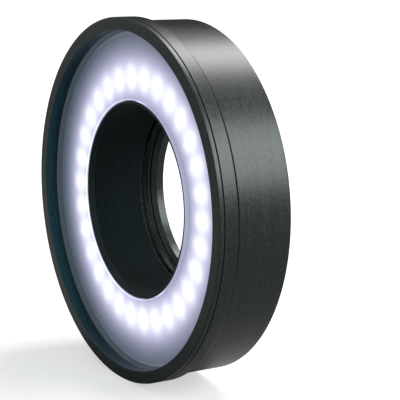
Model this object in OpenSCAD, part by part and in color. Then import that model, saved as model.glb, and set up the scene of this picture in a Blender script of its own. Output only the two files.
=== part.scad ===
// Ring light for close-up photography, screwed to the front thread of a lens.
// The optical axis is Y. The front faces -Y, the lens side +Y, and the top is +Z.
// The origin is the centre of the lens seat. Depths are counted back from the front face.

/* [Housing] */
// Outside diameter of the housing
body_d = 141.8; // [139:0.2:150]
// Length of the housing, from the bezel seam to its rear edge
housing_len = 22.8; // [22.25:0.05:34]
// Wall of the housing behind its thread
housing_wall = 2.5; // [2:0.1:3]
// Wall of the housing around the bezel thread
thread_wall = 1.1; // [0.8:0.1:1.3]
// Break on the outer edges of the housing
edge_break = 0.4; // [0.1:0.1:0.6]
// Thickness of the inner shelf that carries the heat spreader
shelf_t = 3; // [2:0.5:4]
// Width of the inner shelf
shelf_w = 6.4; // [5:0.2:7]

/* [Front bezel] */
// How far the bezel stands out from the housing
bezel_lip = 1.6; // [0.8:0.1:4]
// Thickness of the bezel's rim, in front of its groove
rim_t = 2; // [1:0.1:2.6]
// Width of the groove around the bezel
groove_w = 0.4; // [0.3:0.1:1.2]
// Depth of the groove below the bezel's diameter
groove_depth = 0.5; // [0.3:0.1:2]
// Depth of the bezel, from the front face to the seam
bezel_depth = 8.2; // [8:0.1:10.6]
// Gap at the seam between bezel and housing
seam_gap = 1.15; // [0.2:0.05:1.6]
// Depth of the gasket seat behind the front face
recess = 5; // [4.4:0.1:5.4]
// Length of the threaded skirt behind the bezel
skirt_len = 5.4; // [5:0.1:5.6]
// Wall of the threaded skirt
skirt_wall = 1; // [0.8:0.1:1.2]
// Width of the ledge that holds the window from the front
window_ledge = 1; // [0.6:0.1:1.4]

/* [Window and diffuser] */
// Thickness of the window
window_t = 2; // [1.5:0.1:2.2]
// Gap between the window's hole and the baffle tube
window_gap = 0.35; // [0.3:0.05:0.8]
// Thickness of the gasket under the bezel
gasket_t = 0.3; // [0.2:0.05:0.6]
// Thickness of the window's snap ring
window_clip_t = 0.8; // [0.6:0.1:1]
// Thickness of the diffuser film
film_t = 0.5; // [0.3:0.1:0.8]

/* [Light engine] */
// Number of light-emitting diodes
led_count = 30; // [16:1:30]
// Diameter of the circle of diodes
led_circle_d = 97.2; // [95:0.2:102]
// Width of one diode package
led_w = 5; // [3:0.1:5.2]
// Height of one diode package
led_h = 1.4; // [0.8:0.1:1.8]
// Radius of the lens dome on a diode
led_dome_r = 2.1; // [1:0.1:2.2]
// Distance from the diffuser film to the diode board
tray_depth = 4.5; // [4.4:0.1:5]
// Wall of the reflector tray
tray_wall = 0.8; // [0.6:0.1:1]
// Thickness of the diode board
led_board_t = 1.6; // [1:0.1:2]
// Thickness of the heat spreader
spreader_t = 3; // [2.6:0.1:4]

/* [Baffle tube] */
// Clear diameter between the ridges of the baffle tube
bore_d = 75.4; // [73:0.1:75.8]
// Height of the ridges
ridge_depth = 0.7; // [0.3:0.1:0.8]
// Spacing of the ridges
ridge_pitch = 1.27; // [1:0.01:3]
// Wall of the baffle tube behind the ridges
tube_wall = 1; // [0.8:0.1:1.2]
// How far the tube's front edge lies behind the window's front
tube_set_back = 0.5; // [0.2:0.1:1]
// Thickness of the shoulder that clamps on the rear cover
shoulder_t = 2.15; // [1.5:0.05:3]
// Thickness of the ring nut on the tube
tube_nut_t = 2.5; // [2:0.1:2.7]
// Radial width of the ring nut
tube_nut_w = 4.5; // [3.5:0.1:5]

/* [Lens adapter] */
// Diameter of the lens filter thread
lens_thread_d = 72; // [71.6:0.1:75]
// Length of the lens thread
lens_thread_len = 4; // [3:0.5:6]
// Wall of the lens thread
lens_thread_wall = 1.3; // [1:0.1:1.6]
// Width of the seat that meets the lens rim
seat_w = 2.2; // [2:0.1:2.6]
// Distance from the housing's rear edge to the lens seat
seat_stand = 3.85; // [3.8:0.05:6]
// Thickness of the hub that turns in the baffle tube
hub_t = 2.4; // [2:0.1:2.6]
// Thickness of the adapter's snap ring
adapter_clip_t = 0.8; // [0.6:0.1:0.9]
// Thickness of the friction washer in front of the hub
adapter_washer_t = 0.4; // [0.2:0.1:0.6]

/* [Rear cover] */
// Thickness of the rear cover
cover_t = 3; // [2.4:0.1:4]
// How far the rear cover lies inside the housing's rear edge
cover_inset = 0.5; // [0.2:0.1:1]
// Number of screw bosses in the housing
boss_count = 6; // [4, 6]
// Radius of a screw boss
boss_rad = 3.6; // [3:0.1:3.8]

/* [Dimmer] */
// Diameter of the dimmer knob
knob_d = 15; // [14:0.5:18]
// Height of the dimmer knob
knob_h = 11.9; // [10:0.1:16]
// Number of grip flutes on the knob
knob_flutes = 36; // [18:1:48]
// Radius of the dimmer's shaft
shaft_r = 3; // [2.5:0.1:3]
// Radius of the dimmer's control body
pot_r = 7.5; // [6.5:0.1:8.5]
// Depth of the dimmer's control body
pot_depth = 8.5; // [7:0.1:8.8]

/* [Power button] */
// Radius of the switch body
switch_r = 6; // [5.6:0.1:7]
// Depth of the switch body
switch_depth = 7; // [6.5:0.1:8]
// Radius of the button's top
button_r = 3.3; // [2.5:0.1:3.4]
// Travel of the button
button_travel = 1.5; // [0.8:0.1:1.6]
// How far the button stands out of its bush
button_proud = 1.8; // [1.6:0.1:3]

/* [Power inlet] */
// Radius of the inlet's body
inlet_r = 5.5; // [5:0.1:6.5]
// Depth of the inlet's body
inlet_depth = 8.6; // [8.6:0.1:11]
// Radius of the socket for the plug
socket_r = 2.9; // [2.5:0.1:3]
// Radius of the inlet's centre pin
inlet_pin_r = 1; // [0.6:0.05:1.2]

/* [Driver board] */
// Angle that the driver board covers
driver_arc = 150; // [146:1:156]
// Radial width of the driver board
driver_w = 11; // [10.4:0.2:14]
// Thickness of the driver board
driver_t = 1.6; // [1:0.1:2]
// Height of the driver board above the heat spreader
standoff_h = 3; // [2:0.1:3.4]
// Radius of a wire
wire_r = 0.6; // [0.4:0.05:0.7]

/* [Hidden] */
$fn = 96;

// Clearances
thread_clear = 0.3;
slip_clear = 0.3;
running_clear = 0.05;
hub_clear = 0.1;
face_clear = 0.05;
hole_clear = 0.1;
wire_end_clear = 0.2;

// How far a cut runs past the face that it opens
overcut = 1;

// Depths, counted back from the front face
housing_front = bezel_depth + seam_gap;
housing_rear = housing_front + housing_len;
seat_depth = housing_rear + seat_stand;
window_front = recess + gasket_t;
window_back = window_front + window_t;
film_front = window_back + 2 * face_clear;
film_back = film_front + film_t;
board_front = film_back + tray_depth;
spreader_front = board_front + led_board_t;
shelf_front = spreader_front + spreader_t;
shelf_back = shelf_front + shelf_t;
skirt_end = bezel_depth + skirt_len;
thread_end = skirt_end + slip_clear;
cover_back = housing_rear - cover_inset;
cover_front = cover_back - cover_t;
driver_front = shelf_front + standoff_h;
driver_back = driver_front + driver_t;

// Radii, from the housing inwards
body_r = body_d / 2;
bezel_r = body_r + bezel_lip;
thread_r = body_r - thread_wall;
skirt_r = thread_r - thread_clear;
rebate_r = skirt_r - skirt_wall;
opening_r = rebate_r - window_ledge;
window_r = rebate_r - slip_clear;
inner_r = body_r - housing_wall;
shelf_r = inner_r - shelf_w;
cover_r = inner_r - hole_clear;
boss_set_in = 0.5;
boss_r = inner_r - boss_rad - boss_set_in;
boss_angles = [for (i = [0:boss_count - 1]) (i + 0.5) * 360 / boss_count];

// Radii, from the lens thread and the bore outwards
lens_r = lens_thread_d / 2;
lens_bore_r = lens_r - lens_thread_wall;
neck_r = lens_r + seat_w;
clip_lap = 0.9;
socket_wall = 1.5;
ridge_root_r = bore_d / 2 + ridge_depth;
adapter_washer_w = 0.8;
tube_socket_r = max(neck_r + slip_clear + clip_lap, ridge_root_r + adapter_washer_w + 2 * hole_clear);
tube_rear_r = tube_socket_r + socket_wall;
shoulder_w = 1.6;
shoulder_r = tube_rear_r + shoulder_w;
cover_hole_r = tube_rear_r + hole_clear;
tube_nut_r = cover_hole_r + tube_nut_w;
hub_r = tube_socket_r - hub_clear;
tube_r = ridge_root_r + tube_wall;
window_hole_r = tube_r + window_gap;
film_gap = 0.6;
film_hole_r = tube_r + film_gap;
board_gap = 1.6;
board_hole_r = tube_r + board_gap;
spreader_hole_r = board_hole_r + 2 * hole_clear;
window_clip_lap = 1.2;
window_clip_gap = 7;
adapter_clip_gap = 6;
clip_groove_depth = 0.5;
film_r = rebate_r - window_clip_lap - clip_groove_depth;
led_board_r = film_r - tray_wall;
led_r = led_circle_d / 2;

// Depths at the rear of the baffle tube
tube_front = window_front + tube_set_back;
tube_end_gap = 0.8;
tube_end = seat_depth - tube_end_gap;
tube_lip = 0.5;
clip_back = tube_end - tube_lip;
clip_front = clip_back - adapter_clip_t - 2 * face_clear;
hub_back = clip_front - face_clear;
hub_front = hub_back - hub_t;
socket_floor = hub_front - adapter_washer_t - 2 * face_clear;
ridge_front_land = 1;
ridge_back_land = 0.5;

// Ring nut and lens adapter
nut_notch_w = 3;
nut_notch_depth = 1.5;
nut_notch_angles = [45, 135, 225, 315];
adapter_lead = 0.4;
adapter_wall = 1.8;
adapter_tooth = 0.5;
adapter_taper = 0.6;
adapter_front_land = 0.2;
adapter_back_land = 0.1;

// Screws: shank radius, head radius and head height
screw_r = 1.5;
screw_head_r = 2.7;
screw_head_h = 1.3;
screw_grip = 3.8;
small_screw_r = 1.25;
small_head_r = 2.3;
small_head_h = 1.5;
small_socket_r = 1.2;
screw_socket_r = 1;
grub_socket_r = 0.75;
board_screw_r = (led_r + led_w / 2 + led_board_r) / 2;
board_screw_angles = [for (i = [0:boss_count - 1]) i * 360 / boss_count];
boss_hole_r = screw_r + face_clear;

// Places of the controls on the rear cover, between the ring nut and the wall
control_r = (tube_nut_r + inner_r) / 2;
dimmer_angle = 180;
switch_angle = 120;
inlet_angle = 240;

// Dimmer
bush_wall = 0.5;
bush_len = 3.5;
bush_r = shaft_r + bush_wall;
bush_end = cover_back + bush_len;
washer_t = 0.5;
hex_nut_t = 2;
hex_corner = 1 / cos(30);
dimmer_nut_r = 5.2;
pot_floor_t = 2;
pot_front = cover_front - pot_depth;
pot_floor = pot_front + pot_floor_t;
knob_r = knob_d / 2;
knob_gap = 1;
knob_bottom = cover_back + knob_gap;
knob_top = knob_bottom + knob_h;
knob_crown = 2;
knob_roof = 2.5;
knob_recess_clear = 0.6;
knob_bush_clear = 0.7;
knob_recess_r = dimmer_nut_r + knob_recess_clear;
knob_recess_top = bush_end + knob_bush_clear;
knob_bore_top = knob_top - knob_roof;
knob_shaft_r = shaft_r + running_clear;
flute_depth = 0.4;
grub_r = 1.4;
grub_len = knob_r - shaft_r - flute_depth - 2 * hole_clear - face_clear;
grub_depth = (knob_recess_top + knob_bore_top) / 2;
pointer_w = 0.8;
pointer_depth = 0.3;
pointer_start = 1;

// Power button
button_collar = 0.7;
button_collar_h = 2;
switch_bush_wall = 0.7;
switch_bush_len = 1.8;
switch_mouth_len = 1.5;
switch_ring_t = 1.5;
switch_ring_w = 1.8;
button_base_r = button_r + button_collar;
switch_bore_r = button_base_r + slip_clear;
switch_mouth_r = button_r + slip_clear;
switch_bush_r = switch_bore_r + switch_bush_wall;
switch_bush_end = cover_back + switch_bush_len;
switch_ring_r = (switch_bush_r + switch_ring_w) * hex_corner;
switch_front = cover_front - switch_depth;
mouth_front = switch_bush_end - switch_mouth_len;
button_top = switch_bush_end + button_proud;
button_step = mouth_front - slip_clear;
button_base = button_step - button_collar_h;
spring_room = 3.8;
spring_floor = button_base - spring_room;
stem_r = 1.4;
stem_gap = 0.8;
stem_spare = 0.6;
stem_end = spring_floor + stem_gap;
stem_floor = stem_end - button_travel - stem_spare;
spring_wire_r = 0.3;
spring_gap = 1.2;
spring_r = stem_r + spring_gap;
spring_turns = 4;

// Power inlet
inlet_bush_wall = 1.1;
inlet_bush_len = 2.4;
inlet_nut_w = 2.36;
socket_len = 10;
inlet_pin_set_back = 1;
inlet_pin_root_len = 3;
inlet_pin_collar = 0.3;
inlet_front = cover_front - inlet_depth;
inlet_bush_r = socket_r + inlet_bush_wall;
inlet_end = cover_back + inlet_bush_len;
inlet_nut_r = inlet_bush_r + inlet_nut_w;
socket_floor_depth = inlet_end - socket_len;
inlet_pin_top = inlet_end - inlet_pin_set_back;
inlet_pin_root = socket_floor_depth - inlet_pin_root_len;
inlet_pin_root_r = inlet_pin_r + inlet_pin_collar;

// Driver board: places are [radius, angle]
driver_under = 0.5;
driver_in_r = shoulder_r - driver_under;
driver_out_r = driver_in_r + driver_w;
driver_r = (driver_in_r + driver_out_r) / 2;
driver_screw_angles = [-70, -12, 12, 70];
driver_screw_shank_r = 1;
driver_screw_head_r = 1.9;
driver_screw_head_h = 1.3;
driver_socket_r = 0.9;
driver_screw_grip = 1.5;
standoff_r = 2.75;
inductor_r = 4.5;
inductor_h = 4.5;
inductor_flange = 1;
inductor_waist = 0.8;
capacitor_r = 3.15;
capacitor_h = 4.5;
capacitor_angles = [-24, 24];
crimp_depth = 0.3;
crimp_height = 1;
crimp_w = 0.8;
chip_angles = [-46, -36, 36];
chip_w = 4;
chip_len = 5;
chip_h = 1.5;
header_w = 5;
header_gap = 0.5;
header_len = 5;
header_h = 4.5;
header_side = header_len / 2 + wire_end_clear;
lead_header_angle = 60;
dimmer_header_angle = 45;
dimmer_wire_pitch = 1.3;
dimmer_lug_pitch = 1.5;
dimmer_lane_set_out = 2.6;
dimmer_lug_set_in = 2.6;
dimmer_lane_r = [for (i = [-1:1]) shoulder_r + dimmer_lane_set_out + i * dimmer_wire_pitch];
dimmer_lug_r = [for (i = [-1:1]) control_r - pot_r + dimmer_lug_set_in + i * dimmer_lug_pitch];
lead_set_in = 3;
lead_pitch = 2.5;
lead_radii = [for (i = [0:1]) control_r - lead_set_in + i * lead_pitch];
lead_header_r = dimmer_lane_r[2] + wire_r + header_gap + header_w / 2;
lead_lane_r = [for (i = [0:1]) lead_header_r + (i - 0.5) * lead_pitch];
wire_height = 2.55;
wire_depth = driver_back + wire_height;
lug_w = 1;
lug_t = 1.6;
lug_reach = 2;
inlet_lug_reach = 2.5;
switch_lug_end = switch_r + lug_reach;
inlet_lug_end = inlet_r + inlet_lug_reach;
dimmer_lug_end = pot_r + lug_reach;
led_wire_angles = [-33, 33];
led_wire_set_out = 2;
led_wire_r = driver_in_r + led_wire_set_out;
wire_steps = 14;
wire_sides = 8;

// Colours
anodised_black = [0.10, 0.10, 0.11];
baffle_black = [0.05, 0.05, 0.05];
steel_grey = [0.62, 0.63, 0.65];
dark_steel = [0.2, 0.2, 0.21];
brass_yellow = [0.75, 0.6, 0.3];
plain_aluminium = [0.75, 0.76, 0.78];
rubber_black = [0.06, 0.06, 0.06];
opal = [0.86, 0.87, 0.95, 0.6];
white_plastic = [0.93, 0.93, 0.93];
board_white = [0.9, 0.92, 0.9];
board_green = [0.1, 0.35, 0.2];
plastic_black = [0.08, 0.08, 0.09];
wire_red = [0.7, 0.1, 0.1];

// Turns the depth direction into +Y, with the front face at -seat_depth
module depth_frame() {
  translate([0, -seat_depth, 0]) rotate([-90, 0, 0]) children();
}

// Moves out along a spoke; angles run from +X towards +Z
module spoke(radius, angle) {
  rotate([0, 0, -angle]) translate([radius, 0, 0]) children();
}

// Copies its children to every angle of a circle
module around(radius, angles) {
  for (angle = angles) {
    spoke(radius, angle) children();
  }
}

// A turned solid from its profile of [radius, depth] points
module turned(profile) {
  rotate_extrude() polygon(profile);
}

// A flat or tubular ring
module ring(inside, outside, front, back) {
  turned([[inside, front], [outside, front], [outside, back], [inside, back]]);
}

// A rod along the depth
module rod(radius, front, back) {
  translate([0, 0, front]) cylinder(r = radius, h = back - front);
}

// A hexagonal rod along the depth
module hex_rod(radius, front, back) {
  translate([0, 0, front]) cylinder(r = radius, h = back - front, $fn = 6);
}

// A block centred on the axis, from one depth to another
module block(size_x, size_y, front, back) {
  translate([-size_x / 2, -size_y / 2, front]) cube([size_x, size_y, back - front]);
}

// Countersunk screw whose head faces the front; a hole for one runs out past the face by its mouth
module countersunk(front, length, clearance, mouth = 0) {
  head_r = screw_head_r + clearance;
  shank_r = screw_r + clearance;
  mouth_r = head_r + mouth * (head_r - shank_r) / screw_head_h;
  turned([
    [0, front - mouth],
    [mouth_r, front - mouth],
    [shank_r, front + screw_head_h],
    [shank_r, front + length],
    [0, front + length]
  ]);
}

// The opening of a snap ring, cut at the bottom
module snap_gap(width, inside, outside, front, back) {
  spoke((inside + outside) / 2, 270)
    block(outside - inside + 4 * overcut, width, front - overcut, back + overcut);
}

// Teeth of a baffle, as [radius, depth] points from the back to the front
function baffle_teeth(root, tooth, front, back) =
  let (count = floor((back - front) / ridge_pitch))
  [for (i = [0:count - 1], step = [0, 0.5])
    [step == 0 ? root : root - tooth, back - (i + step) * ridge_pitch]];

// A point on a circle in the depth frame
function polar(radius, angle, depth) = [radius * cos(angle), -radius * sin(angle), depth];

// Angle at which a circle lies a given distance beside a spoke
function beside(distance, radius) = asin(distance / radius);

// Centre line of a wire that follows the ring and drifts from one radius to another
function wire_path(start_r, end_r, start_a, end_a) =
  [for (i = [0:wire_steps])
    let (t = i / wire_steps, s = min(1, t / 0.35), ease = s * s * (3 - 2 * s))
    polar(start_r + (end_r - start_r) * ease, start_a + (end_a - start_a) * t, wire_depth)];

// A wire as one swept tube along a flat path
module wire(path) {
  count = len(path);
  rings = [for (i = [0:count - 1])
    let (ahead = path[min(i + 1, count - 1)] - path[max(i - 1, 0)])
    let (side = [ahead[1], -ahead[0], 0] / norm(ahead))
    for (k = [0:wire_sides - 1])
      let (turn = 360 * k / wire_sides)
      path[i] + wire_r * (cos(turn) * side + [0, 0, sin(turn)])];
  walls = [for (i = [0:count - 2], k = [0:wire_sides - 1])
    let (a = i * wire_sides + k, b = i * wire_sides + (k + 1) % wire_sides)
    each [[a, b, a + wire_sides], [b, b + wire_sides, a + wire_sides]]];
  first_end = [for (k = [1:wire_sides - 2]) [0, k + 1, k]];
  last = (count - 1) * wire_sides;
  last_end = [for (k = [1:wire_sides - 2]) [last, last + k, last + k + 1]];
  polyhedron(points = rings, faces = concat(walls, first_end, last_end));
}

module front_bezel() {
  groove_back = rim_t + groove_w;
  groove_r = bezel_r - groove_depth;
  clip_back_face = window_back + window_clip_t + face_clear;
  clip_r = rebate_r + clip_groove_depth;
  color(anodised_black) depth_frame() turned([
    [opening_r, edge_break / 2],
    [opening_r + edge_break / 2, 0],
    [bezel_r - edge_break, 0],
    [bezel_r, edge_break],
    [bezel_r, rim_t],
    [groove_r, rim_t],
    [groove_r, groove_back],
    [bezel_r, groove_back],
    [bezel_r, bezel_depth - edge_break],
    [bezel_r - edge_break, bezel_depth],
    [skirt_r, bezel_depth],
    [skirt_r, skirt_end],
    [rebate_r, skirt_end],
    [rebate_r, clip_back_face],
    [clip_r, clip_back_face],
    [clip_r, window_back],
    [rebate_r, window_back],
    [rebate_r, recess],
    [opening_r, recess]
  ]);
}

module window_clip() {
  front = window_back + face_clear / 2;
  back = front + window_clip_t;
  inside = rebate_r - window_clip_lap;
  outside = rebate_r + clip_groove_depth - face_clear;
  color(dark_steel) depth_frame() difference() {
    ring(inside, outside, front, back);
    snap_gap(window_clip_gap, inside, outside, front, back);
  }
}

module bezel_gasket() {
  color(rubber_black) depth_frame() ring(opening_r + hole_clear, window_r, recess, window_front);
}

module window() {
  color(opal) depth_frame() turned([
    [window_hole_r, window_front + edge_break],
    [window_hole_r + edge_break, window_front],
    [window_r, window_front],
    [window_r, window_back],
    [window_hole_r, window_back]
  ]);
}

module diffuser_film() {
  color(white_plastic) depth_frame() ring(film_hole_r, film_r, film_front, film_back);
}

module reflector_tray() {
  floor_front = board_front - tray_wall;
  led_hole_r = led_w / sqrt(2) + slip_clear;
  led_angles = [for (i = [0:led_count - 1]) i * 360 / led_count];
  color(white_plastic) depth_frame() difference() {
    turned([
      [film_hole_r, film_back],
      [film_hole_r + tray_wall, film_back],
      [film_hole_r + tray_wall, floor_front],
      [film_r - tray_wall, floor_front],
      [film_r - tray_wall, film_back],
      [film_r, film_back],
      [film_r, board_front],
      [film_hole_r, board_front]
    ]);
    around(led_r, led_angles) rod(led_hole_r, floor_front - overcut, board_front + overcut);
    around(board_screw_r, board_screw_angles)
      rod(small_screw_r + hole_clear, floor_front - overcut, board_front + overcut);
  }
}

module led_board() {
  color(board_white) depth_frame() difference() {
    ring(board_hole_r, led_board_r, board_front, spreader_front);
    around(board_screw_r, board_screw_angles)
      rod(small_screw_r + hole_clear, board_front - overcut, spreader_front + overcut);
  }
}

module led_bases() {
  color(white_plastic) depth_frame() for (i = [0:led_count - 1]) {
    spoke(led_r, i * 360 / led_count) block(led_w, led_w, board_front - led_h, board_front);
  }
}

module led_domes() {
  top = board_front - led_h;
  color(opal) depth_frame() for (i = [0:led_count - 1]) {
    spoke(led_r, i * 360 / led_count) difference() {
      translate([0, 0, top]) sphere(r = led_dome_r);
      block(3 * led_dome_r, 3 * led_dome_r, top, top + 2 * led_dome_r);
    }
  }
}

module board_screws() {
  head_back = board_front - tray_wall;
  shank_end = shelf_front - face_clear;
  color(steel_grey) depth_frame() around(board_screw_r, board_screw_angles) difference() {
    union() {
      rod(small_head_r, head_back - small_head_h, head_back);
      rod(small_screw_r, head_back - small_head_h / 2, shank_end);
    }
    hex_rod(small_socket_r, head_back - small_head_h - overcut, head_back - small_head_h / 2);
  }
}

module heat_spreader() {
  driver_hole_floor = shelf_front - driver_screw_grip - hole_clear;
  color(plain_aluminium) depth_frame() difference() {
    ring(spreader_hole_r, inner_r - hole_clear, spreader_front, shelf_front);
    around(board_screw_r, board_screw_angles)
      rod(small_screw_r + face_clear, spreader_front - overcut, shelf_front + overcut);
    around(boss_r, boss_angles) countersunk(spreader_front, spreader_t + overcut, hole_clear, overcut);
    around(driver_r, driver_screw_angles)
      rod(driver_screw_shank_r + face_clear, driver_hole_floor, shelf_front + overcut);
    around(led_wire_r, led_wire_angles)
      rod(wire_r + 2 * slip_clear, spreader_front - overcut, shelf_front + overcut);
  }
}

module spreader_screws() {
  length = spreader_t + screw_grip;
  color(steel_grey) depth_frame() around(boss_r, boss_angles) difference() {
    countersunk(spreader_front + face_clear, length, 0);
    hex_rod(screw_socket_r, spreader_front - overcut, spreader_front + screw_head_h);
  }
}

module housing() {
  spreader_hole_end = spreader_front + spreader_t + screw_grip + 2 * face_clear;
  cover_hole_start = cover_back - cover_t - screw_grip;
  color(anodised_black) depth_frame() difference() {
    union() {
      turned([
        [thread_r, housing_front],
        [body_r - edge_break, housing_front],
        [body_r, housing_front + edge_break],
        [body_r, housing_rear - edge_break],
        [body_r - edge_break, housing_rear],
        [inner_r, housing_rear],
        [inner_r, shelf_back],
        [shelf_r, shelf_back],
        [shelf_r, shelf_front],
        [inner_r, shelf_front],
        [inner_r, thread_end],
        [thread_r, thread_end]
      ]);
      intersection() {
        around(boss_r, boss_angles) union() {
          rod(boss_rad, shelf_back - overcut, cover_front);
          translate([0, -boss_rad, shelf_back - overcut])
            cube([boss_rad + housing_wall, 2 * boss_rad, cover_front - shelf_back + overcut]);
        }
        rod(inner_r + housing_wall / 2, shelf_back - overcut, cover_front);
      }
    }
    spoke(control_r, dimmer_angle) rod(pot_r + slip_clear, shelf_front - overcut, shelf_back + overcut);
    spoke(control_r, switch_angle) rod(switch_r + slip_clear, shelf_front - overcut, shelf_back + overcut);
    spoke(control_r, inlet_angle) rod(inlet_r + slip_clear, shelf_front - overcut, shelf_back + overcut);
    around(boss_r, boss_angles) rod(boss_hole_r, shelf_front - overcut, spreader_hole_end);
    around(boss_r, boss_angles) rod(boss_hole_r, cover_hole_start, cover_front + overcut);
  }
}

module rear_cover() {
  color(anodised_black) depth_frame() difference() {
    ring(cover_hole_r, cover_r, cover_front, cover_back);
    around(boss_r, boss_angles) translate([0, 0, cover_back]) mirror([0, 0, 1])
      countersunk(0, cover_t + overcut, hole_clear, overcut);
    spoke(control_r, dimmer_angle)
      rod(bush_r + hole_clear, cover_front - overcut, cover_back + overcut);
    spoke(control_r, switch_angle)
      rod(switch_bush_r + hole_clear, cover_front - overcut, cover_back + overcut);
    spoke(control_r, inlet_angle)
      rod(inlet_bush_r + hole_clear, cover_front - overcut, cover_back + overcut);
  }
}

module cover_screws() {
  length = cover_t + screw_grip - 2 * face_clear;
  color(dark_steel) depth_frame() around(boss_r, boss_angles) difference() {
    translate([0, 0, cover_back - face_clear]) mirror([0, 0, 1]) countersunk(0, length, 0);
    hex_rod(screw_socket_r, cover_back - screw_head_h, cover_back + overcut);
  }
}

module baffle_tube() {
  shoulder_front = cover_front - shoulder_t;
  teeth_front = tube_front + ridge_front_land;
  teeth_back = socket_floor - ridge_back_land;
  teeth = baffle_teeth(ridge_root_r, ridge_depth, teeth_front, teeth_back);
  groove_r = tube_socket_r + clip_lap;
  color(baffle_black) depth_frame() turned(concat([
    [ridge_root_r, tube_front],
    [tube_r - edge_break / 2, tube_front],
    [tube_r, tube_front + edge_break / 2],
    [tube_r, shoulder_front],
    [shoulder_r, shoulder_front],
    [shoulder_r, cover_front],
    [tube_rear_r, cover_front],
    [tube_rear_r, tube_end],
    [tube_socket_r, tube_end],
    [tube_socket_r, clip_back],
    [groove_r, clip_back],
    [groove_r, clip_front],
    [tube_socket_r, clip_front],
    [tube_socket_r, socket_floor],
    [ridge_root_r, socket_floor]
  ], teeth));
}

module tube_nut() {
  back = cover_back + tube_nut_t;
  color(anodised_black) depth_frame() difference() {
    ring(cover_hole_r, tube_nut_r, cover_back, back);
    around(tube_nut_r, nut_notch_angles)
      block(2 * nut_notch_depth, nut_notch_w, cover_back - overcut, back + overcut);
  }
}

module adapter_ring() {
  bore_r = neck_r - adapter_wall;
  root_r = bore_r + adapter_tooth;
  thread_end_depth = seat_depth + lens_thread_len;
  taper_back = seat_depth + adapter_taper;
  taper_front = taper_back - (bore_r - lens_bore_r);
  teeth_front = hub_front + adapter_front_land;
  teeth_back = taper_front - adapter_back_land;
  color(anodised_black) depth_frame() turned(concat([
    [root_r, hub_front],
    [hub_r, hub_front],
    [hub_r, hub_back],
    [neck_r, hub_back],
    [neck_r, seat_depth],
    [lens_r, seat_depth],
    [lens_r, thread_end_depth - adapter_lead],
    [lens_r - adapter_lead, thread_end_depth],
    [lens_bore_r, thread_end_depth],
    [lens_bore_r, taper_back],
    [bore_r, taper_front]
  ], baffle_teeth(root_r, adapter_tooth, teeth_front, teeth_back)));
}

module adapter_clip() {
  front = clip_front + face_clear;
  back = clip_back - face_clear;
  inside = neck_r + slip_clear;
  outside = tube_socket_r + clip_lap - face_clear;
  color(dark_steel) depth_frame() difference() {
    ring(inside, outside, front, back);
    snap_gap(adapter_clip_gap, inside, outside, front, back);
  }
}

module adapter_washer() {
  outside = tube_socket_r - hole_clear;
  color(steel_grey) depth_frame()
    ring(outside - adapter_washer_w, outside, socket_floor, hub_front - 2 * face_clear);
}

module driver_board() {
  color(board_green) depth_frame() difference() {
    rotate([0, 0, -driver_arc / 2]) rotate_extrude(angle = driver_arc) polygon([
      [driver_in_r, driver_front],
      [driver_out_r, driver_front],
      [driver_out_r, driver_back],
      [driver_in_r, driver_back]
    ]);
    around(driver_r, driver_screw_angles)
      rod(driver_screw_shank_r + hole_clear, driver_front - overcut, driver_back + overcut);
  }
}

module driver_standoffs() {
  color(brass_yellow) depth_frame() around(driver_r, driver_screw_angles) difference() {
    hex_rod(standoff_r, shelf_front, driver_front);
    rod(driver_screw_shank_r + hole_clear, shelf_front - overcut, driver_front + overcut);
  }
}

module driver_screws() {
  head_back = driver_back + driver_screw_head_h;
  head_middle = driver_back + driver_screw_head_h / 2;
  color(steel_grey) depth_frame() around(driver_r, driver_screw_angles) difference() {
    union() {
      rod(driver_screw_head_r, driver_back, head_back);
      rod(driver_screw_shank_r, shelf_front - driver_screw_grip, head_middle);
    }
    hex_rod(driver_socket_r, head_middle, head_back + overcut);
  }
}

module inductor() {
  waist_r = inductor_r - inductor_waist;
  top = driver_back + inductor_h;
  color(plastic_black) depth_frame() spoke(driver_r, 0) turned([
    [0, driver_back],
    [inductor_r, driver_back],
    [inductor_r, driver_back + inductor_flange],
    [waist_r, driver_back + inductor_flange],
    [waist_r, top - inductor_flange],
    [inductor_r, top - inductor_flange],
    [inductor_r, top],
    [0, top]
  ]);
}

module capacitors() {
  top = driver_back + capacitor_h;
  crimp_front = driver_back + crimp_height;
  color(steel_grey) depth_frame() around(driver_r, capacitor_angles) turned([
    [0, driver_back],
    [capacitor_r, driver_back],
    [capacitor_r, crimp_front],
    [capacitor_r - crimp_depth, crimp_front + crimp_w / 2],
    [capacitor_r, crimp_front + crimp_w],
    [capacitor_r, top - crimp_depth],
    [capacitor_r - crimp_depth, top],
    [0, top]
  ]);
}

module driver_chips() {
  color(plastic_black) depth_frame() around(driver_r, chip_angles)
    block(chip_w, chip_len, driver_back, driver_back + chip_h);
}

module wire_headers() {
  top = driver_back + header_h;
  color(white_plastic) depth_frame() {
    around(lead_header_r, [lead_header_angle, -lead_header_angle])
      block(header_w, header_len, driver_back, top);
    spoke(dimmer_lane_r[1], dimmer_header_angle) block(header_w, header_len, driver_back, top);
  }
}

module led_wires() {
  color(wire_red) depth_frame() around(led_wire_r, led_wire_angles)
    rod(wire_r, spreader_front + face_clear, driver_front - face_clear);
}

module inlet_wires() {
  lug_side = inlet_lug_end + wire_end_clear;
  color(wire_red) depth_frame() for (i = [0:1]) {
    start = inlet_angle - 360 + beside(lug_side, lead_radii[i]);
    end = -lead_header_angle - beside(header_side, lead_lane_r[i]);
    wire(wire_path(lead_radii[i], lead_lane_r[i], start, end));
  }
}

module switch_wires() {
  lug_side = switch_lug_end + wire_end_clear;
  color(wire_red) depth_frame() for (i = [0:1]) {
    start = switch_angle - beside(lug_side, lead_radii[i]);
    end = lead_header_angle + beside(header_side, lead_lane_r[i]);
    wire(wire_path(lead_radii[i], lead_lane_r[i], start, end));
  }
}

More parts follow.
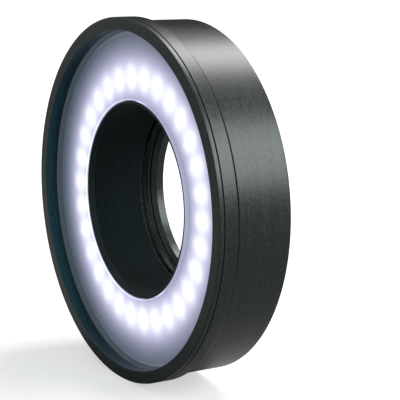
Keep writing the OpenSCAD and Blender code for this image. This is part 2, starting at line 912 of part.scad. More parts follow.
module dimmer_wires() {
  lug_side = dimmer_lug_end + wire_end_clear;
  color(wire_red) depth_frame() for (i = [0:2]) {
    start = dimmer_angle - beside(lug_side, dimmer_lug_r[i]);
    end = dimmer_header_angle + beside(header_side, dimmer_lane_r[i]);
    wire(wire_path(dimmer_lug_r[i], dimmer_lane_r[i], start, end));
  }
}

// A solder lug beside a control: side 1 points to smaller angles, side -1 to larger ones
module lug(radius, reach, side) {
  translate([radius - control_r - lug_w / 2, side > 0 ? 0 : -reach, wire_depth - lug_t / 2])
    cube([lug_w, reach, lug_t]);
}

module dimmer_pot() {
  color(plain_aluminium) depth_frame() spoke(control_r, dimmer_angle) difference() {
    union() {
      rod(pot_r, pot_front, cover_front);
      rod(bush_r, cover_front - overcut, bush_end);
      for (radius = dimmer_lug_r) {
        lug(radius, dimmer_lug_end, 1);
      }
    }
    rod(shaft_r + running_clear, pot_floor, bush_end + overcut);
  }
}

module dimmer_nut() {
  nut_front = cover_back + washer_t + face_clear;
  color(steel_grey) depth_frame() spoke(control_r, dimmer_angle) {
    ring(bush_r + hole_clear, dimmer_nut_r, cover_back, nut_front - face_clear);
    difference() {
      hex_rod(dimmer_nut_r, nut_front, nut_front + hex_nut_t);
      rod(bush_r + hole_clear, nut_front - overcut, nut_front + hex_nut_t + overcut);
    }
  }
}

module dimmer_shaft() {
  color(steel_grey) depth_frame() spoke(control_r, dimmer_angle)
    rod(shaft_r, pot_floor + face_clear, knob_bore_top - hole_clear);
}

module dimmer_knob() {
  grip_top = knob_top - knob_crown;
  crown_r = knob_r - 2 * flute_depth;
  flutes = [for (i = [0:2 * knob_flutes - 1])
    let (radius = i % 2 == 0 ? knob_r : knob_r - flute_depth, angle = i * 180 / knob_flutes)
    [radius * cos(angle), radius * sin(angle)]];
  color(anodised_black) depth_frame() spoke(control_r, dimmer_angle) difference() {
    union() {
      translate([0, 0, knob_bottom]) linear_extrude(grip_top - knob_bottom) polygon(flutes);
      turned([
        [0, grip_top - overcut],
        [crown_r, grip_top - overcut],
        [crown_r, knob_top - edge_break],
        [crown_r - edge_break, knob_top],
        [0, knob_top]
      ]);
    }
    rod(knob_recess_r, knob_bottom - overcut, knob_recess_top);
    rod(knob_shaft_r, knob_bottom, knob_bore_top);
    translate([0, -knob_r - overcut, grub_depth]) rotate([-90, 0, 0])
      cylinder(r = grub_r + face_clear, h = knob_r + overcut);
    translate([pointer_start, -pointer_w / 2, knob_top - pointer_depth])
      cube([knob_r, pointer_w, pointer_depth + overcut]);
  }
}

module knob_screw() {
  inner_end = shaft_r + face_clear;
  color(dark_steel) depth_frame() spoke(control_r, dimmer_angle) difference() {
    translate([0, -inner_end - grub_len, grub_depth]) rotate([-90, 0, 0]) cylinder(r = grub_r, h = grub_len);
    translate([0, -inner_end - grub_len - overcut, grub_depth]) rotate([-90, 0, 0])
      cylinder(r = grub_socket_r, h = overcut + grub_len / 2, $fn = 6);
  }
}

module switch_body() {
  color(plastic_black) depth_frame() spoke(control_r, switch_angle) difference() {
    union() {
      rod(switch_r, switch_front, cover_front);
      rod(switch_bush_r, cover_front - overcut, switch_bush_end);
      for (radius = lead_radii) {
        lug(radius, switch_lug_end, 1);
      }
    }
    rod(switch_mouth_r, mouth_front - overcut, switch_bush_end + overcut);
    rod(switch_bore_r, spring_floor, mouth_front);
    rod(stem_r + slip_clear, stem_floor, spring_floor + overcut);
  }
}

module switch_ring() {
  color(steel_grey) depth_frame() spoke(control_r, switch_angle) difference() {
    hex_rod(switch_ring_r, cover_back, cover_back + switch_ring_t);
    rod(switch_bush_r + hole_clear, cover_back - overcut, cover_back + switch_ring_t + overcut);
  }
}

module power_button() {
  color(plastic_black) depth_frame() spoke(control_r, switch_angle) turned([
    [0, stem_end],
    [stem_r, stem_end],
    [stem_r, button_base],
    [button_base_r, button_base],
    [button_base_r, button_step],
    [button_r, button_step],
    [button_r, button_top - edge_break],
    [button_r - edge_break, button_top],
    [0, button_top]
  ]);
}

// Return spring of the button: a helix of round wire around the stem
module button_spring() {
  steps = spring_turns * 12;
  sides = 6;
  first = spring_floor + spring_wire_r + face_clear;
  last = button_base - spring_wire_r - face_clear;
  points = [for (i = [0:steps], k = [0:sides - 1])
    let (turn = 360 * i * spring_turns / steps, roll = 360 * k / sides)
    let (out = spring_r + spring_wire_r * cos(roll))
    [out * cos(turn), out * sin(turn), first + (last - first) * i / steps + spring_wire_r * sin(roll)]];
  walls = [for (i = [0:steps - 1], k = [0:sides - 1])
    let (a = i * sides + k, b = i * sides + (k + 1) % sides)
    each [[a, a + sides, b], [b, a + sides, b + sides]]];
  start_face = [for (k = [1:sides - 2]) [0, k, k + 1]];
  tail = steps * sides;
  end_face = [for (k = [1:sides - 2]) [tail, tail + k + 1, tail + k]];
  color(steel_grey) depth_frame() spoke(control_r, switch_angle)
    polyhedron(points = points, faces = concat(walls, start_face, end_face));
}

module inlet_jack() {
  color(plastic_black) depth_frame() spoke(control_r, inlet_angle) difference() {
    union() {
      rod(inlet_r, inlet_front, cover_front);
      rod(inlet_bush_r, cover_front - overcut, inlet_end);
      for (radius = lead_radii) {
        lug(radius, inlet_lug_end, -1);
      }
    }
    rod(socket_r, socket_floor_depth, inlet_end + overcut);
    rod(inlet_pin_root_r + face_clear, inlet_pin_root, socket_floor_depth + overcut);
  }
}

module inlet_nut() {
  color(steel_grey) depth_frame() spoke(control_r, inlet_angle) difference() {
    hex_rod(inlet_nut_r, cover_back, cover_back + hex_nut_t);
    rod(inlet_bush_r + hole_clear, cover_back - overcut, cover_back + hex_nut_t + overcut);
  }
}

module inlet_pin() {
  color(brass_yellow) depth_frame() spoke(control_r, inlet_angle) turned([
    [0, inlet_pin_root],
    [inlet_pin_root_r, inlet_pin_root],
    [inlet_pin_root_r, socket_floor_depth],
    [inlet_pin_r, socket_floor_depth],
    [inlet_pin_r, inlet_pin_top - inlet_pin_r / 2],
    [inlet_pin_r / 2, inlet_pin_top],
    [0, inlet_pin_top]
  ]);
}

front_bezel();
window_clip();
bezel_gasket();
window();
diffuser_film();
reflector_tray();
led_board();
led_bases();
led_domes();
board_screws();
heat_spreader();
spreader_screws();
housing();
rear_cover();
cover_screws();
baffle_tube();
tube_nut();
adapter_ring();
adapter_clip();
adapter_washer();
driver_board();
driver_standoffs();
driver_screws();
inductor();
capacitors();
driver_chips();
wire_headers();
led_wires();
inlet_wires();
switch_wires();
dimmer_wires();
dimmer_pot();
dimmer_nut();
dimmer_shaft();
dimmer_knob();
knob_screw();
switch_body();
switch_ring();
power_button();
button_spring();
inlet_jack();
inlet_nut();
inlet_pin();
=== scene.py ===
"""Dress for a ring light that screws to the front of a lens.

Lengths are metres in the frame of the solids: the optical axis is Y, the front faces -Y and +Z is up.
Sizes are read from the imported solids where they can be, and are otherwise fields in millimetres.
"""
import logging
import math
from collections.abc import Callable, Sequence
from dataclasses import asdict, dataclass, replace
from enum import Enum
from typing import Any, NamedTuple

import bmesh
import bpy
from mathutils import Matrix, Vector


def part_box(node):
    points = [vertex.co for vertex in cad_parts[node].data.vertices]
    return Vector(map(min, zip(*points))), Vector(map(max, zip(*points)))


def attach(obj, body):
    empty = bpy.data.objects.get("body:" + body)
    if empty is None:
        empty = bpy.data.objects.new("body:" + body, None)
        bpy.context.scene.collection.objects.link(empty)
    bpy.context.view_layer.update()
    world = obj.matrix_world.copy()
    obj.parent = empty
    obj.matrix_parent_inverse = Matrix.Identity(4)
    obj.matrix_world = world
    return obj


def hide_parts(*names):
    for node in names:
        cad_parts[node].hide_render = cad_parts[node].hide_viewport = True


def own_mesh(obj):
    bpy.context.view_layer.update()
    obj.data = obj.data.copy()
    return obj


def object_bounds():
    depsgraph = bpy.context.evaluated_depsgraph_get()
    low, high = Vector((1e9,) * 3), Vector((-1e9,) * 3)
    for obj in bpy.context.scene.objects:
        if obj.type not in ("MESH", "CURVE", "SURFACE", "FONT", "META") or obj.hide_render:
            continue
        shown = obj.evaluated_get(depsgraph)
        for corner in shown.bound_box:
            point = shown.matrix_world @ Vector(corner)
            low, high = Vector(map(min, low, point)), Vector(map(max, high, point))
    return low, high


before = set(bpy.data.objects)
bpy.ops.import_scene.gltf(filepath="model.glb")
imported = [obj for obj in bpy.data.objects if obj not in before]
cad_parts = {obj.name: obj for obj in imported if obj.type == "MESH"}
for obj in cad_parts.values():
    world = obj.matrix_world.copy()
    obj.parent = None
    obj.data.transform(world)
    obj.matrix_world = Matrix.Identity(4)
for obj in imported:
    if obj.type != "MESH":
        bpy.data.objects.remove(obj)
CAD_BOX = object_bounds()

LOG = logging.getLogger("ring_light")
MM = 0.001
SEGMENTS = 240
SMALL_SEGMENTS = 72
SHARP_ANGLE = math.radians(33)
MERGE_DISTANCE = 0.001 * MM
ROUNDING = 0.0002 * MM   # keeps the bezel inside the box of the solids in single precision
FLAT_ANGLE = math.radians(1)
EDGE_ANGLE = math.radians(35)
ARC_SHARE = 0.4          # the most of a side that the rounding of a corner may take
HOLD = 2                 # a holding ring stands this many roundings away from its corner
HOLD_ROOM = 6            # a side shorter than this many roundings gets no holding ring
BOW = 0.3                # how far the middle of a rounded edge lies inside its corner, as a share of the edge
NOISE_LOW, NOISE_HIGH = 0.25, 0.75   # the stretch in which nearly all of a noise lies
SCREW_EDGE = 0.12 * MM
TRIANGLE_HEIGHT = 1.5    # in radii of the circle around the triangle
DIODE_COUNT = 30
DIODE_RING_MM = 48.6
WHITE = "#ffffff"
SQUARE = ((-1, -1), (1, -1), (1, 1), (-1, 1))

Radius = float | Callable[[float], float]
Ring = tuple[Radius, float]
Inputs = dict[int | str, Any]
Tree = bpy.types.NodeTree
Node = bpy.types.Node
Socket = bpy.types.NodeSocket
Object = bpy.types.Object


class Body(Enum):
    """The bodies that a piece can ride on."""

    HOUSING = "housing"
    WINDOW = "window"
    BEZEL = "bezel"
    ADAPTER = "adapter"
    DIMMER = "dimmer"
    BUTTON = "button"


class Slot(Enum):
    """The record's material slots."""

    ANODISED = "anodised"
    BAFFLE = "baffle_black"
    DARK_STEEL = "dark_steel"
    STEEL = "steel"
    WINDOW = "window"
    FILM = "film"
    PHOSPHOR = "phosphor"
    WHITE_PLASTIC = "white_plastic"
    BLACK_PLASTIC = "black_plastic"


class Corner(NamedTuple):
    """A corner of a turned outline: its radius, its depth along Y and how far it is rounded."""

    r: float
    y: float
    rounding: float = 0.0


class Screw(NamedTuple):
    """A socket screw: its head's height, its socket's corner radius, its shank's radius and its kind."""

    head_h: float
    socket_r: float
    shank_r: float
    conical: bool = True


class Softbox(NamedTuple):
    """A lamp: its name, the angle of its streak on the drum, its sides and its brightness beside white."""

    name: str
    angle: float
    size: tuple[float, float]
    radiance: float


def linear(code: str) -> tuple[float, float, float, float]:
    """Turns an sRGB hex colour into linear light.

    Args:
        code: The colour as #rrggbb.

    Returns:
        Red, green, blue and an alpha of 1.
    """
    shares = [int(code[i:i + 2], 16) / 255 for i in (1, 3, 5)]
    red, green, blue = (s / 12.92 if s <= 0.04045 else ((s + 0.055) / 1.055) ** 2.4 for s in shares)
    return red, green, blue, 1.0


def feed(tree: Tree, node: Node, inputs: Inputs) -> None:
    """Gives a node its values and links.

    Args:
        tree: The node tree.
        node: The node.
        inputs: A value, or an output to link, for each named or numbered input.
    """
    for key, value in inputs.items():
        if isinstance(value, Socket):
            tree.links.new(value, node.inputs[key])
        else:
            node.inputs[key].default_value = value


def add(tree: Tree, kind: str, inputs: Inputs | None = None, **settings: Any) -> Node:
    """Adds a node with its settings, values and links.

    Args:
        tree: The node tree.
        kind: Blender's name for the node type.
        inputs: A value, or an output to link, for each named or numbered input.
        settings: Properties of the node itself.

    Returns:
        The new node.
    """
    node = tree.nodes.new(kind)
    for key, value in settings.items():
        setattr(node, key, value)
    feed(tree, node, inputs or {})
    return node


def maths(tree: Tree, operation: str, *values: Any) -> Socket:
    """Reckons with numbers, which are values or outputs to link, in the order of the node's inputs."""
    return add(tree, "ShaderNodeMath", dict(enumerate(values)), operation=operation).outputs[0]


def ranged(tree: Tree, value: Socket, source: tuple[float, float] = (0.0, 1.0),
           target: tuple[float, float] = (0.0, 1.0)) -> Socket:
    """Carries a number from one stretch over to another, and stops at its ends."""
    ends = {"From Min": source[0], "From Max": source[1], "To Min": target[0], "To Max": target[1]}
    return add(tree, "ShaderNodeMapRange", {"Value": value, **ends}).outputs[0]


def mixed(tree: Tree, share: Socket, first: str | Socket, second: str | Socket) -> Socket:
    """Mixes two colours, hex values or sockets, by the share of the second."""
    one, two = (linear(colour) if isinstance(colour, str) else colour for colour in (first, second))
    # several of the node's sockets share a name, so those for colours go by their number
    return add(tree, "ShaderNodeMix", {0: share, 6: one, 7: two}, data_type="RGBA").outputs[2]


def scaled(tree: Tree, vector: Any, factor: float | Socket) -> Socket:
    """Multiplies a vector, a value or an output to link, by a number."""
    return add(tree, "ShaderNodeVectorMath", {0: vector, "Scale": factor}, operation="SCALE").outputs[0]


@dataclass(frozen=True)
class Span:
    """Radii and depths of a node about an axis along Y, read from its mesh."""

    inner: float
    outer: float
    front: float
    back: float

    @classmethod
    def of(cls, node: str, centre: tuple[float, float] = (0.0, 0.0)) -> "Span":
        """Measures a node of the frame.

        Args:
            node: The node's name.
            centre: X and Z of the axis.

        Returns:
            The node's span.
        """
        points = [v.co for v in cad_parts[node].data.vertices]
        reach = [math.hypot(p.x - centre[0], p.z - centre[1]) for p in points]
        depth = [p.y for p in points]
        return cls(min(reach), max(reach), min(depth), max(depth))


def middle_of(node: str) -> tuple[float, float]:
    """X and Z of the middle of a node."""
    low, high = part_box(node)
    return (low[0] + high[0]) / 2, (low[2] + high[2]) / 2


def rounded(corners: Sequence[Corner], steps: int = 3) -> list[Ring]:
    """Turns a closed outline into rings, with an arc and two holding rings at each rounded corner.

    Args:
        corners: The outline's corners in order.
        steps: Pieces in each arc.

    Returns:
        Radius and depth of each ring.
    """
    rings: list[Ring] = []
    for i, corner in enumerate(corners):
        here = Vector(corner[:2])
        before = Vector(corners[i - 1][:2]) - here
        after = Vector(corners[(i + 1) % len(corners)][:2]) - here
        if corner.rounding <= 0:
            rings.append((here.x, here.y))
            continue
        half = before.angle(after) / 2
        reach = min(corner.rounding / math.tan(half), ARC_SHARE * before.length, ARC_SHARE * after.length)
        bisector = (before.normalized() + after.normalized()).normalized()
        hub = here + bisector * (reach / math.cos(half))
        start = here + before.normalized() * reach - hub
        end = here + after.normalized() * reach - hub
        if before.length > HOLD_ROOM * reach:
            rings.append(tuple(here + before.normalized() * HOLD * reach))
        for k in range(steps + 1):
            rings.append(tuple(hub + start.lerp(end, k / steps).normalized() * start.length))
        if after.length > HOLD_ROOM * reach:
            rings.append(tuple(here + after.normalized() * HOLD * reach))
    return rings


def linked(name: str, data: bpy.types.ID) -> Object:
    """Makes an object and links it to the scene.

    Args:
        name: The object's name.
        data: Its mesh, curve, lamp or camera.

    Returns:
        The object.
    """
    made = bpy.data.objects.new(name, data)
    bpy.context.scene.collection.objects.link(made)
    return made


def finished(name: str, shape: bmesh.types.BMesh) -> Object:
    """Turns a bmesh into a smooth-shaded object with sharp creases.

    Args:
        name: The object's name.
        shape: The bmesh, which is freed.

    Returns:
        The object, linked to the scene.
    """
    mesh = bpy.data.meshes.new(name)
    shape.to_mesh(mesh)
    shape.free()
    mesh.shade_smooth()
    mesh.set_sharp_from_angle(angle=SHARP_ANGLE)
    return linked(name, mesh)


def spun(name: str, rings: Sequence[Ring], segments: int = SEGMENTS,
         centre: tuple[float, float] = (0.0, 0.0), closed: bool = True) -> Object:
    """Builds a solid from rings around an axis along Y.

    Args:
        name: The object's name.
        rings: Radius, or radius by angle, and depth of each ring. A radius of 0 is a pole.
        segments: Faces around the axis.
        centre: X and Z of the axis.
        closed: Whether the last ring joins the first, as on a ring; a solid disc runs pole to pole.

    Returns:
        The object.
    """
    shape = bmesh.new()
    angles = [2 * math.pi * k / segments for k in range(segments)]
    loops = []
    for radius, y in rings:
        if radius == 0:
            loops.append([shape.verts.new((centre[0], y, centre[1]))] * segments)
            continue
        reach = [radius(a) if callable(radius) else radius for a in angles]
        loops.append([
            shape.verts.new((centre[0] + r * math.cos(a), y, centre[1] + r * math.sin(a)))
            for r, a in zip(reach, angles)
        ])
    pairs = list(zip(loops, loops[1:]))
    if closed:
        pairs.append((loops[-1], loops[0]))
    for first, second in pairs:
        for k in range(segments):
            after = (k + 1) % segments
            corners = list(dict.fromkeys((first[k], first[after], second[after], second[k])))
            if len(corners) > 2:
                shape.faces.new(corners)
    bmesh.ops.recalc_face_normals(shape, faces=shape.faces)
    return finished(name, shape)


def prism(name: str, outline: Sequence[tuple[float, float]], front: float, back: float) -> Object:
    """Builds a straight solid along Y from its outline in X and Z.

    Args:
        name: The object's name.
        outline: X and Z of each corner.
        front: Lowest Y.
        back: Highest Y.

    Returns:
        The object.
    """
    shape = bmesh.new()
    floor = shape.faces.new([shape.verts.new((x, front, z)) for x, z in outline])
    lifted = bmesh.ops.extrude_face_region(shape, geom=[floor])["geom"]
    moved = [item for item in lifted if isinstance(item, bmesh.types.BMVert)]
    bmesh.ops.translate(shape, vec=(0, back - front, 0), verts=moved)
    bmesh.ops.recalc_face_normals(shape, faces=shape.faces)
    return finished(name, shape)


def teeth(root_r: float, crest_r: float, front: float, back: float, pitch: float,
          rounding: float = 0.0) -> list[Corner]:
    """Outline of the light-trapping teeth in a bore, from the back to the front.

    Args:
        root_r: Radius at the bottom of the grooves.
        crest_r: Radius at the crests.
        front: Lowest depth that the teeth may reach.
        back: Depth of the rearmost groove.
        pitch: Spacing of the teeth.
        rounding: Rounding of the crests.

    Returns:
        A root and a crest for each tooth.
    """
    corners = []
    for i in range(math.floor((back - front) / pitch)):
        corners.append(Corner(root_r, back - i * pitch))
        corners.append(Corner(crest_r, back - (i + 0.5) * pitch, rounding))
    return corners


def plain_mesh(source: Object) -> bpy.types.Mesh:
    """Shape of an object with its modifiers, as a mesh of its own."""
    graph = bpy.context.evaluated_depsgraph_get()
    return bpy.data.meshes.new_from_object(source.evaluated_get(graph), depsgraph=graph)


def carved(piece: Object, joined: Sequence[Object],
           cut: Sequence[Object]) -> Object:
    """Joins solids to a piece, then cuts others out of it, and removes them.

    Args:
        piece: The piece.
        joined: Solids that become part of it.
        cut: Solids whose room it loses.

    Returns:
        The same piece.
    """
    for operation, tools in (("UNION", joined), ("DIFFERENCE", cut)):
        for tool in tools:
            step = piece.modifiers.new(tool.name, "BOOLEAN")
            step.solver = "EXACT"
            step.operation = operation
            step.object = tool
    piece.data = plain_mesh(piece)
    piece.modifiers.clear()
    for tool in (*joined, *cut):
        bpy.data.objects.remove(tool)
    piece.data.set_sharp_from_angle(angle=SHARP_ANGLE)
    return piece


def softened(name: str, node: str, width: float) -> Object:
    """Copies a node's mesh, merges it and breaks its edges with a small bevel.

    Args:
        name: The new object's name.
        node: The node to copy.
        width: Width of the bevel.

    Returns:
        The object.
    """
    shape = bmesh.new()
    shape.from_mesh(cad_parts[node].data)
    bmesh.ops.remove_doubles(shape, verts=shape.verts, dist=MERGE_DISTANCE)
    bmesh.ops.dissolve_limit(shape, angle_limit=FLAT_ANGLE, verts=shape.verts, edges=shape.edges)
    edges = [e for e in shape.edges if e.is_manifold and e.calc_face_angle(0.0) > EDGE_ANGLE]
    bmesh.ops.bevel(shape, geom=edges, offset=width, segments=2, profile=0.5, affect="EDGES",
                    clamp_overlap=True)
    bmesh.ops.recalc_face_normals(shape, faces=shape.faces)
    piece = finished(name, shape)
    level = piece.modifiers.new("level_faces", "WEIGHTED_NORMAL")
    level.keep_sharp = True
    piece.data = plain_mesh(piece)
    piece.modifiers.clear()
    return piece


def hexagon(flat_r: float, corner_r: float = math.inf) -> Callable[[float], float]:
    """Radius by angle of a hexagon, by the distance of its flats and where its corners are turned off."""
    sector = math.pi / 3
    return lambda angle: min(corner_r, flat_r / math.cos(angle % sector - sector / 2))


def fluted(crest_r: float, depth: float, count: int, fullness: float = 1.5) -> Callable[[float], float]:
    """Radius by angle of a fluted grip, whose crests are sharp at a fullness of 1."""
    return lambda angle: crest_r - depth * abs(math.sin(angle * count / 2)) ** fullness


def grown(name: str, tree: Tree, values: dict[str, Any]) -> Object:
    """Runs a geometry node tree and keeps its result as a plain mesh.

    Args:
        name: The object's name.
        tree: The tree.
        values: A value for each of the tree's named inputs.

    Returns:
        An object that holds the plain mesh.
    """
    host = linked(name + "_host", bpy.data.meshes.new(name + "_host"))
    modifier = host.modifiers.new("grow", "NODES")
    modifier.node_group = tree
    for item in tree.interface.items_tree:
        if item.name in values:
            modifier[item.identifier] = values[item.name]
    mesh = plain_mesh(host)
    mesh.name = name
    bpy.data.objects.remove(host)
    return linked(name, mesh)


def new_tree(name: str, inputs: dict[str, str]) -> Tree:
    """Starts a geometry node tree with named inputs and one geometry output.

    Args:
        name: The tree's name.
        inputs: Socket type of each named input.

    Returns:
        The tree.
    """
    tree = bpy.data.node_groups.new(name, "GeometryNodeTree")
    for key, kind in inputs.items():
        tree.interface.new_socket(key, in_out="INPUT", socket_type=kind)
    tree.interface.new_socket("Geometry", in_out="OUTPUT", socket_type="NodeSocketGeometry")
    return tree


def finish_tree(tree: Tree, geometry: Socket, finish: Socket) -> None:
    """Ends a tree in plain geometry with its material.

    Args:
        tree: The tree.
        geometry: The instances or mesh to end with.
        finish: The material input.
    """
    real = add(tree, "GeometryNodeRealizeInstances", {0: geometry}).outputs[0]
    dressed = add(tree, "GeometryNodeSetMaterial", {"Geometry": real, "Material": finish}).outputs[0]
    add(tree, "NodeGroupOutput", {0: dressed})


def copies_around() -> Tree:
    """Makes, once, the geometry nodes that set copies of a part around a circle whose axis is Y.

    Returns:
        The tree.
    """
    name = "copies_around"
    if name in bpy.data.node_groups:
        return bpy.data.node_groups[name]
    tree = new_tree(name, {
        "Count": "NodeSocketInt", "Radius": "NodeSocketFloat", "Start": "NodeSocketFloat",
        "Step": "NodeSocketFloat", "Centre": "NodeSocketVector", "Part": "NodeSocketObject",
        "Finish": "NodeSocketMaterial",
    })
    given = add(tree, "NodeGroupInput").outputs
    index = add(tree, "GeometryNodeInputIndex").outputs[0]
    angle = maths(tree, "MULTIPLY_ADD", index, given["Step"], given["Start"])
    arms = {"X": maths(tree, "COSINE", angle), "Z": maths(tree, "SINE", angle)}
    reach = scaled(tree, add(tree, "ShaderNodeCombineXYZ", arms).outputs[0], given["Radius"])
    place = add(tree, "ShaderNodeVectorMath", {0: reach, 1: given["Centre"]}, operation="ADD").outputs[0]
    points = add(tree, "GeometryNodePoints", {"Count": given["Count"], "Position": place}).outputs[0]
    euler = add(tree, "ShaderNodeCombineXYZ", {"Y": maths(tree, "MULTIPLY", angle, -1.0)}).outputs[0]
    rotation = add(tree, "FunctionNodeEulerToRotation", {0: euler}).outputs[0]
    part = add(tree, "GeometryNodeObjectInfo", {"Object": given["Part"]}).outputs["Geometry"]
    copies = {"Points": points, "Instance": part, "Rotation": rotation}
    finish_tree(tree, add(tree, "GeometryNodeInstanceOnPoints", copies).outputs[0], given["Finish"])
    return tree


def helix_sweep() -> Tree:
    """Makes, once, the geometry nodes that sweep a many-sided section along a helix around Y.

    Returns:
        The tree.
    """
    name = "helix_sweep"
    if name in bpy.data.node_groups:
        return bpy.data.node_groups[name]
    tree = new_tree(name, {
        "Turns": "NodeSocketFloat", "Steps": "NodeSocketInt", "Radius": "NodeSocketFloat",
        "Length": "NodeSocketFloat", "Section": "NodeSocketFloat", "Sides": "NodeSocketInt",
        "Centre": "NodeSocketVector", "Finish": "NodeSocketMaterial",
    })
    given = add(tree, "NodeGroupInput").outputs
    helix = add(tree, "GeometryNodeCurveSpiral", {
        "Resolution": given["Steps"], "Rotations": given["Turns"], "Start Radius": given["Radius"],
        "End Radius": given["Radius"], "Height": given["Length"],
    }).outputs[0]
    upright = {"Geometry": helix, "Translation": given["Centre"], "Rotation": (-math.pi / 2, 0, 0)}
    placed = add(tree, "GeometryNodeTransform", upright).outputs[0]
    section = {"Resolution": given["Sides"], "Radius": given["Section"]}
    outline = add(tree, "GeometryNodeCurvePrimitiveCircle", section).outputs[0]
    sweep = {"Curve": placed, "Profile Curve": outline, "Fill Caps": True}
    finish_tree(tree, add(tree, "GeometryNodeCurveToMesh", sweep).outputs[0], given["Finish"])
    return tree


@dataclass(frozen=True)
class Finish:
    """A surface: its shader values and the pattern that its making leaves.

    A plain Finish is a moulded or coated surface with a fine grain.
    """

    name: str
    colour: str
    roughness: float
    metallic: float = 0.0
    ior: float = 1.5
    grain_mm: float = 0.6
    shade: float = 0.25
    rough_shift: float = 0.08
    bump: float = 0.15
    bump_mm: float = 0.03
    centre: tuple[float, float] = (0.0, 0.0)
    grain_detail: float = 3.0
    grain_roughness: float = 0.6

    def material(self) -> bpy.types.Material:
        """Makes the material on first use.

        Returns:
            The material.
        """
        if self.name in bpy.data.materials:
            return bpy.data.materials[self.name]
        material = bpy.data.materials.new(self.name)
        material.use_nodes = True
        tree = material.node_tree
        shader = tree.nodes["Principled BSDF"]
        feed(tree, shader, {
            "Base Color": linear(self.colour), "Roughness": self.roughness, "Metallic": self.metallic,
            "IOR": self.ior,
        })
        material.diffuse_color = linear(self.colour)
        self.detail(tree, shader)
        return material

    def position(self, tree: Tree) -> Socket:
        """Object coordinates, moved so that the piece's own axis is at X = Z = 0.

        Args:
            tree: The material's tree.

        Returns:
            The coordinates.
        """
        coords = add(tree, "ShaderNodeTexCoord").outputs["Object"]
        if self.centre == (0.0, 0.0):
            return coords
        shift = (-self.centre[0], 0.0, -self.centre[1])
        return add(tree, "ShaderNodeMapping", {"Vector": coords, "Location": shift}).outputs[0]

    def polar(self, tree: Tree) -> tuple[Socket, ...]:
        """Splits the position about the axis.

        Args:
            tree: The material's tree.

        Returns:
            Radius, depth along Y, angle from X to Z, and the unit spoke.
        """
        parts = add(tree, "ShaderNodeSeparateXYZ", {0: self.position(tree)}).outputs
        flat = add(tree, "ShaderNodeCombineXYZ", {"X": parts["X"], "Z": parts["Z"]}).outputs[0]
        radius = add(tree, "ShaderNodeVectorMath", {0: flat}, operation="LENGTH").outputs["Value"]
        angle = maths(tree, "ARCTAN2", parts["Z"], parts["X"])
        spoke = add(tree, "ShaderNodeVectorMath", {0: flat}, operation="NORMALIZE").outputs[0]
        return radius, parts["Y"], angle, spoke

    def pattern(self, tree: Tree) -> Socket:
        """The grain of the surface, from 0 to 1."""
        grain = {"Vector": self.position(tree), "Scale": 1 / (self.grain_mm * MM),
                 "Detail": self.grain_detail, "Roughness": self.grain_roughness}
        return add(tree, "ShaderNodeTexNoise", grain).outputs[0]

    def detail(self, tree: Tree, shader: Node) -> None:
        """Lets the pattern vary the colour, the roughness and the relief."""
        self.spread(tree, shader, self.pattern(tree), self.colour)

    def spread(self, tree: Tree, shader: Node, pattern: Socket, colour: str | Socket) -> None:
        """Drives colour, roughness and bump from one pattern.

        Args:
            tree: The material's tree.
            shader: Its shader.
            pattern: A value from 0 to 1 over the surface.
            colour: The mean colour, as a hex value or a socket.
        """
        base = linear(colour)[:3] if isinstance(colour, str) else colour
        main = (NOISE_LOW, NOISE_HIGH)
        level = ranged(tree, pattern, main, (1 - self.shade, 1 + self.shade))
        gloss = (self.roughness - self.rough_shift, self.roughness + self.rough_shift)
        relief = {"Strength": self.bump, "Distance": self.bump_mm * MM, "Height": pattern}
        feed(tree, shader, {
            "Base Color": scaled(tree, base, level),
            "Roughness": ranged(tree, pattern, main, gloss),
            "Normal": add(tree, "ShaderNodeBump", relief).outputs[0],
        })


@dataclass(frozen=True)
class Turned(Finish):
    """A lathe-turned metal: fine lines run round the axis, under a faint cloud of the dye or the plating."""

    line_mm: float = 0.6
    cloud_mm: float = 1.1
    cloud_share: float = 0.6
    line_detail: float = 2.0
    line_roughness: float = 0.65
    cloud_detail: float = 4.0
    drift: float = 1.6

    def pattern(self, tree: Tree) -> Socket:
        """Turning lines along the depth and the radius, broken along the circle, with a soft cloud.

        Args:
            tree: The material's tree.

        Returns:
            The lines and the cloud, from 0 to 1.
        """
        radius, depth, _, spoke = self.polar(tree)
        lines = maths(tree, "MULTIPLY", maths(tree, "ADD", radius, depth), 1 / (self.line_mm * MM))
        across = add(tree, "ShaderNodeCombineXYZ", {"Y": lines}).outputs[0]
        steps = {0: scaled(tree, spoke, self.drift), 1: across}
        spot = add(tree, "ShaderNodeVectorMath", steps, operation="ADD").outputs[0]
        cut = {"Vector": spot, "Scale": 1.0, "Detail": self.line_detail, "Roughness": self.line_roughness}
        turning = add(tree, "ShaderNodeTexNoise", cut).outputs[0]
        haze = {"Vector": self.position(tree), "Scale": 1 / (self.cloud_mm * MM), "Detail": self.cloud_detail}
        cloud = add(tree, "ShaderNodeTexNoise", haze).outputs[0]
        blend = {0: self.cloud_share, 2: turning, 3: cloud}
        return add(tree, "ShaderNodeMix", blend, data_type="FLOAT").outputs[0]


@dataclass(frozen=True)
class BezelMetal(Turned):
    """The turned metal of the bezel, with a blue sheen painted on the wall of the opening as the reflection
    of the lit window.
    """

    opening_mm: float = 67.6
    # painted reflection of the lit window's glow on the wall of the opening
    painted_glow_reflection_colour: str = "#2a464b"

    def detail(self, tree: Tree, shader: Node) -> None:
        """Paints the window's reflected glow as a blue sheen on the wall of the opening."""
        inside = maths(tree, "LESS_THAN", self.polar(tree)[0], self.opening_mm * MM)
        self.spread(tree, shader, self.pattern(tree), mixed(tree, inside, self.colour, self.painted_glow_reflection_colour))


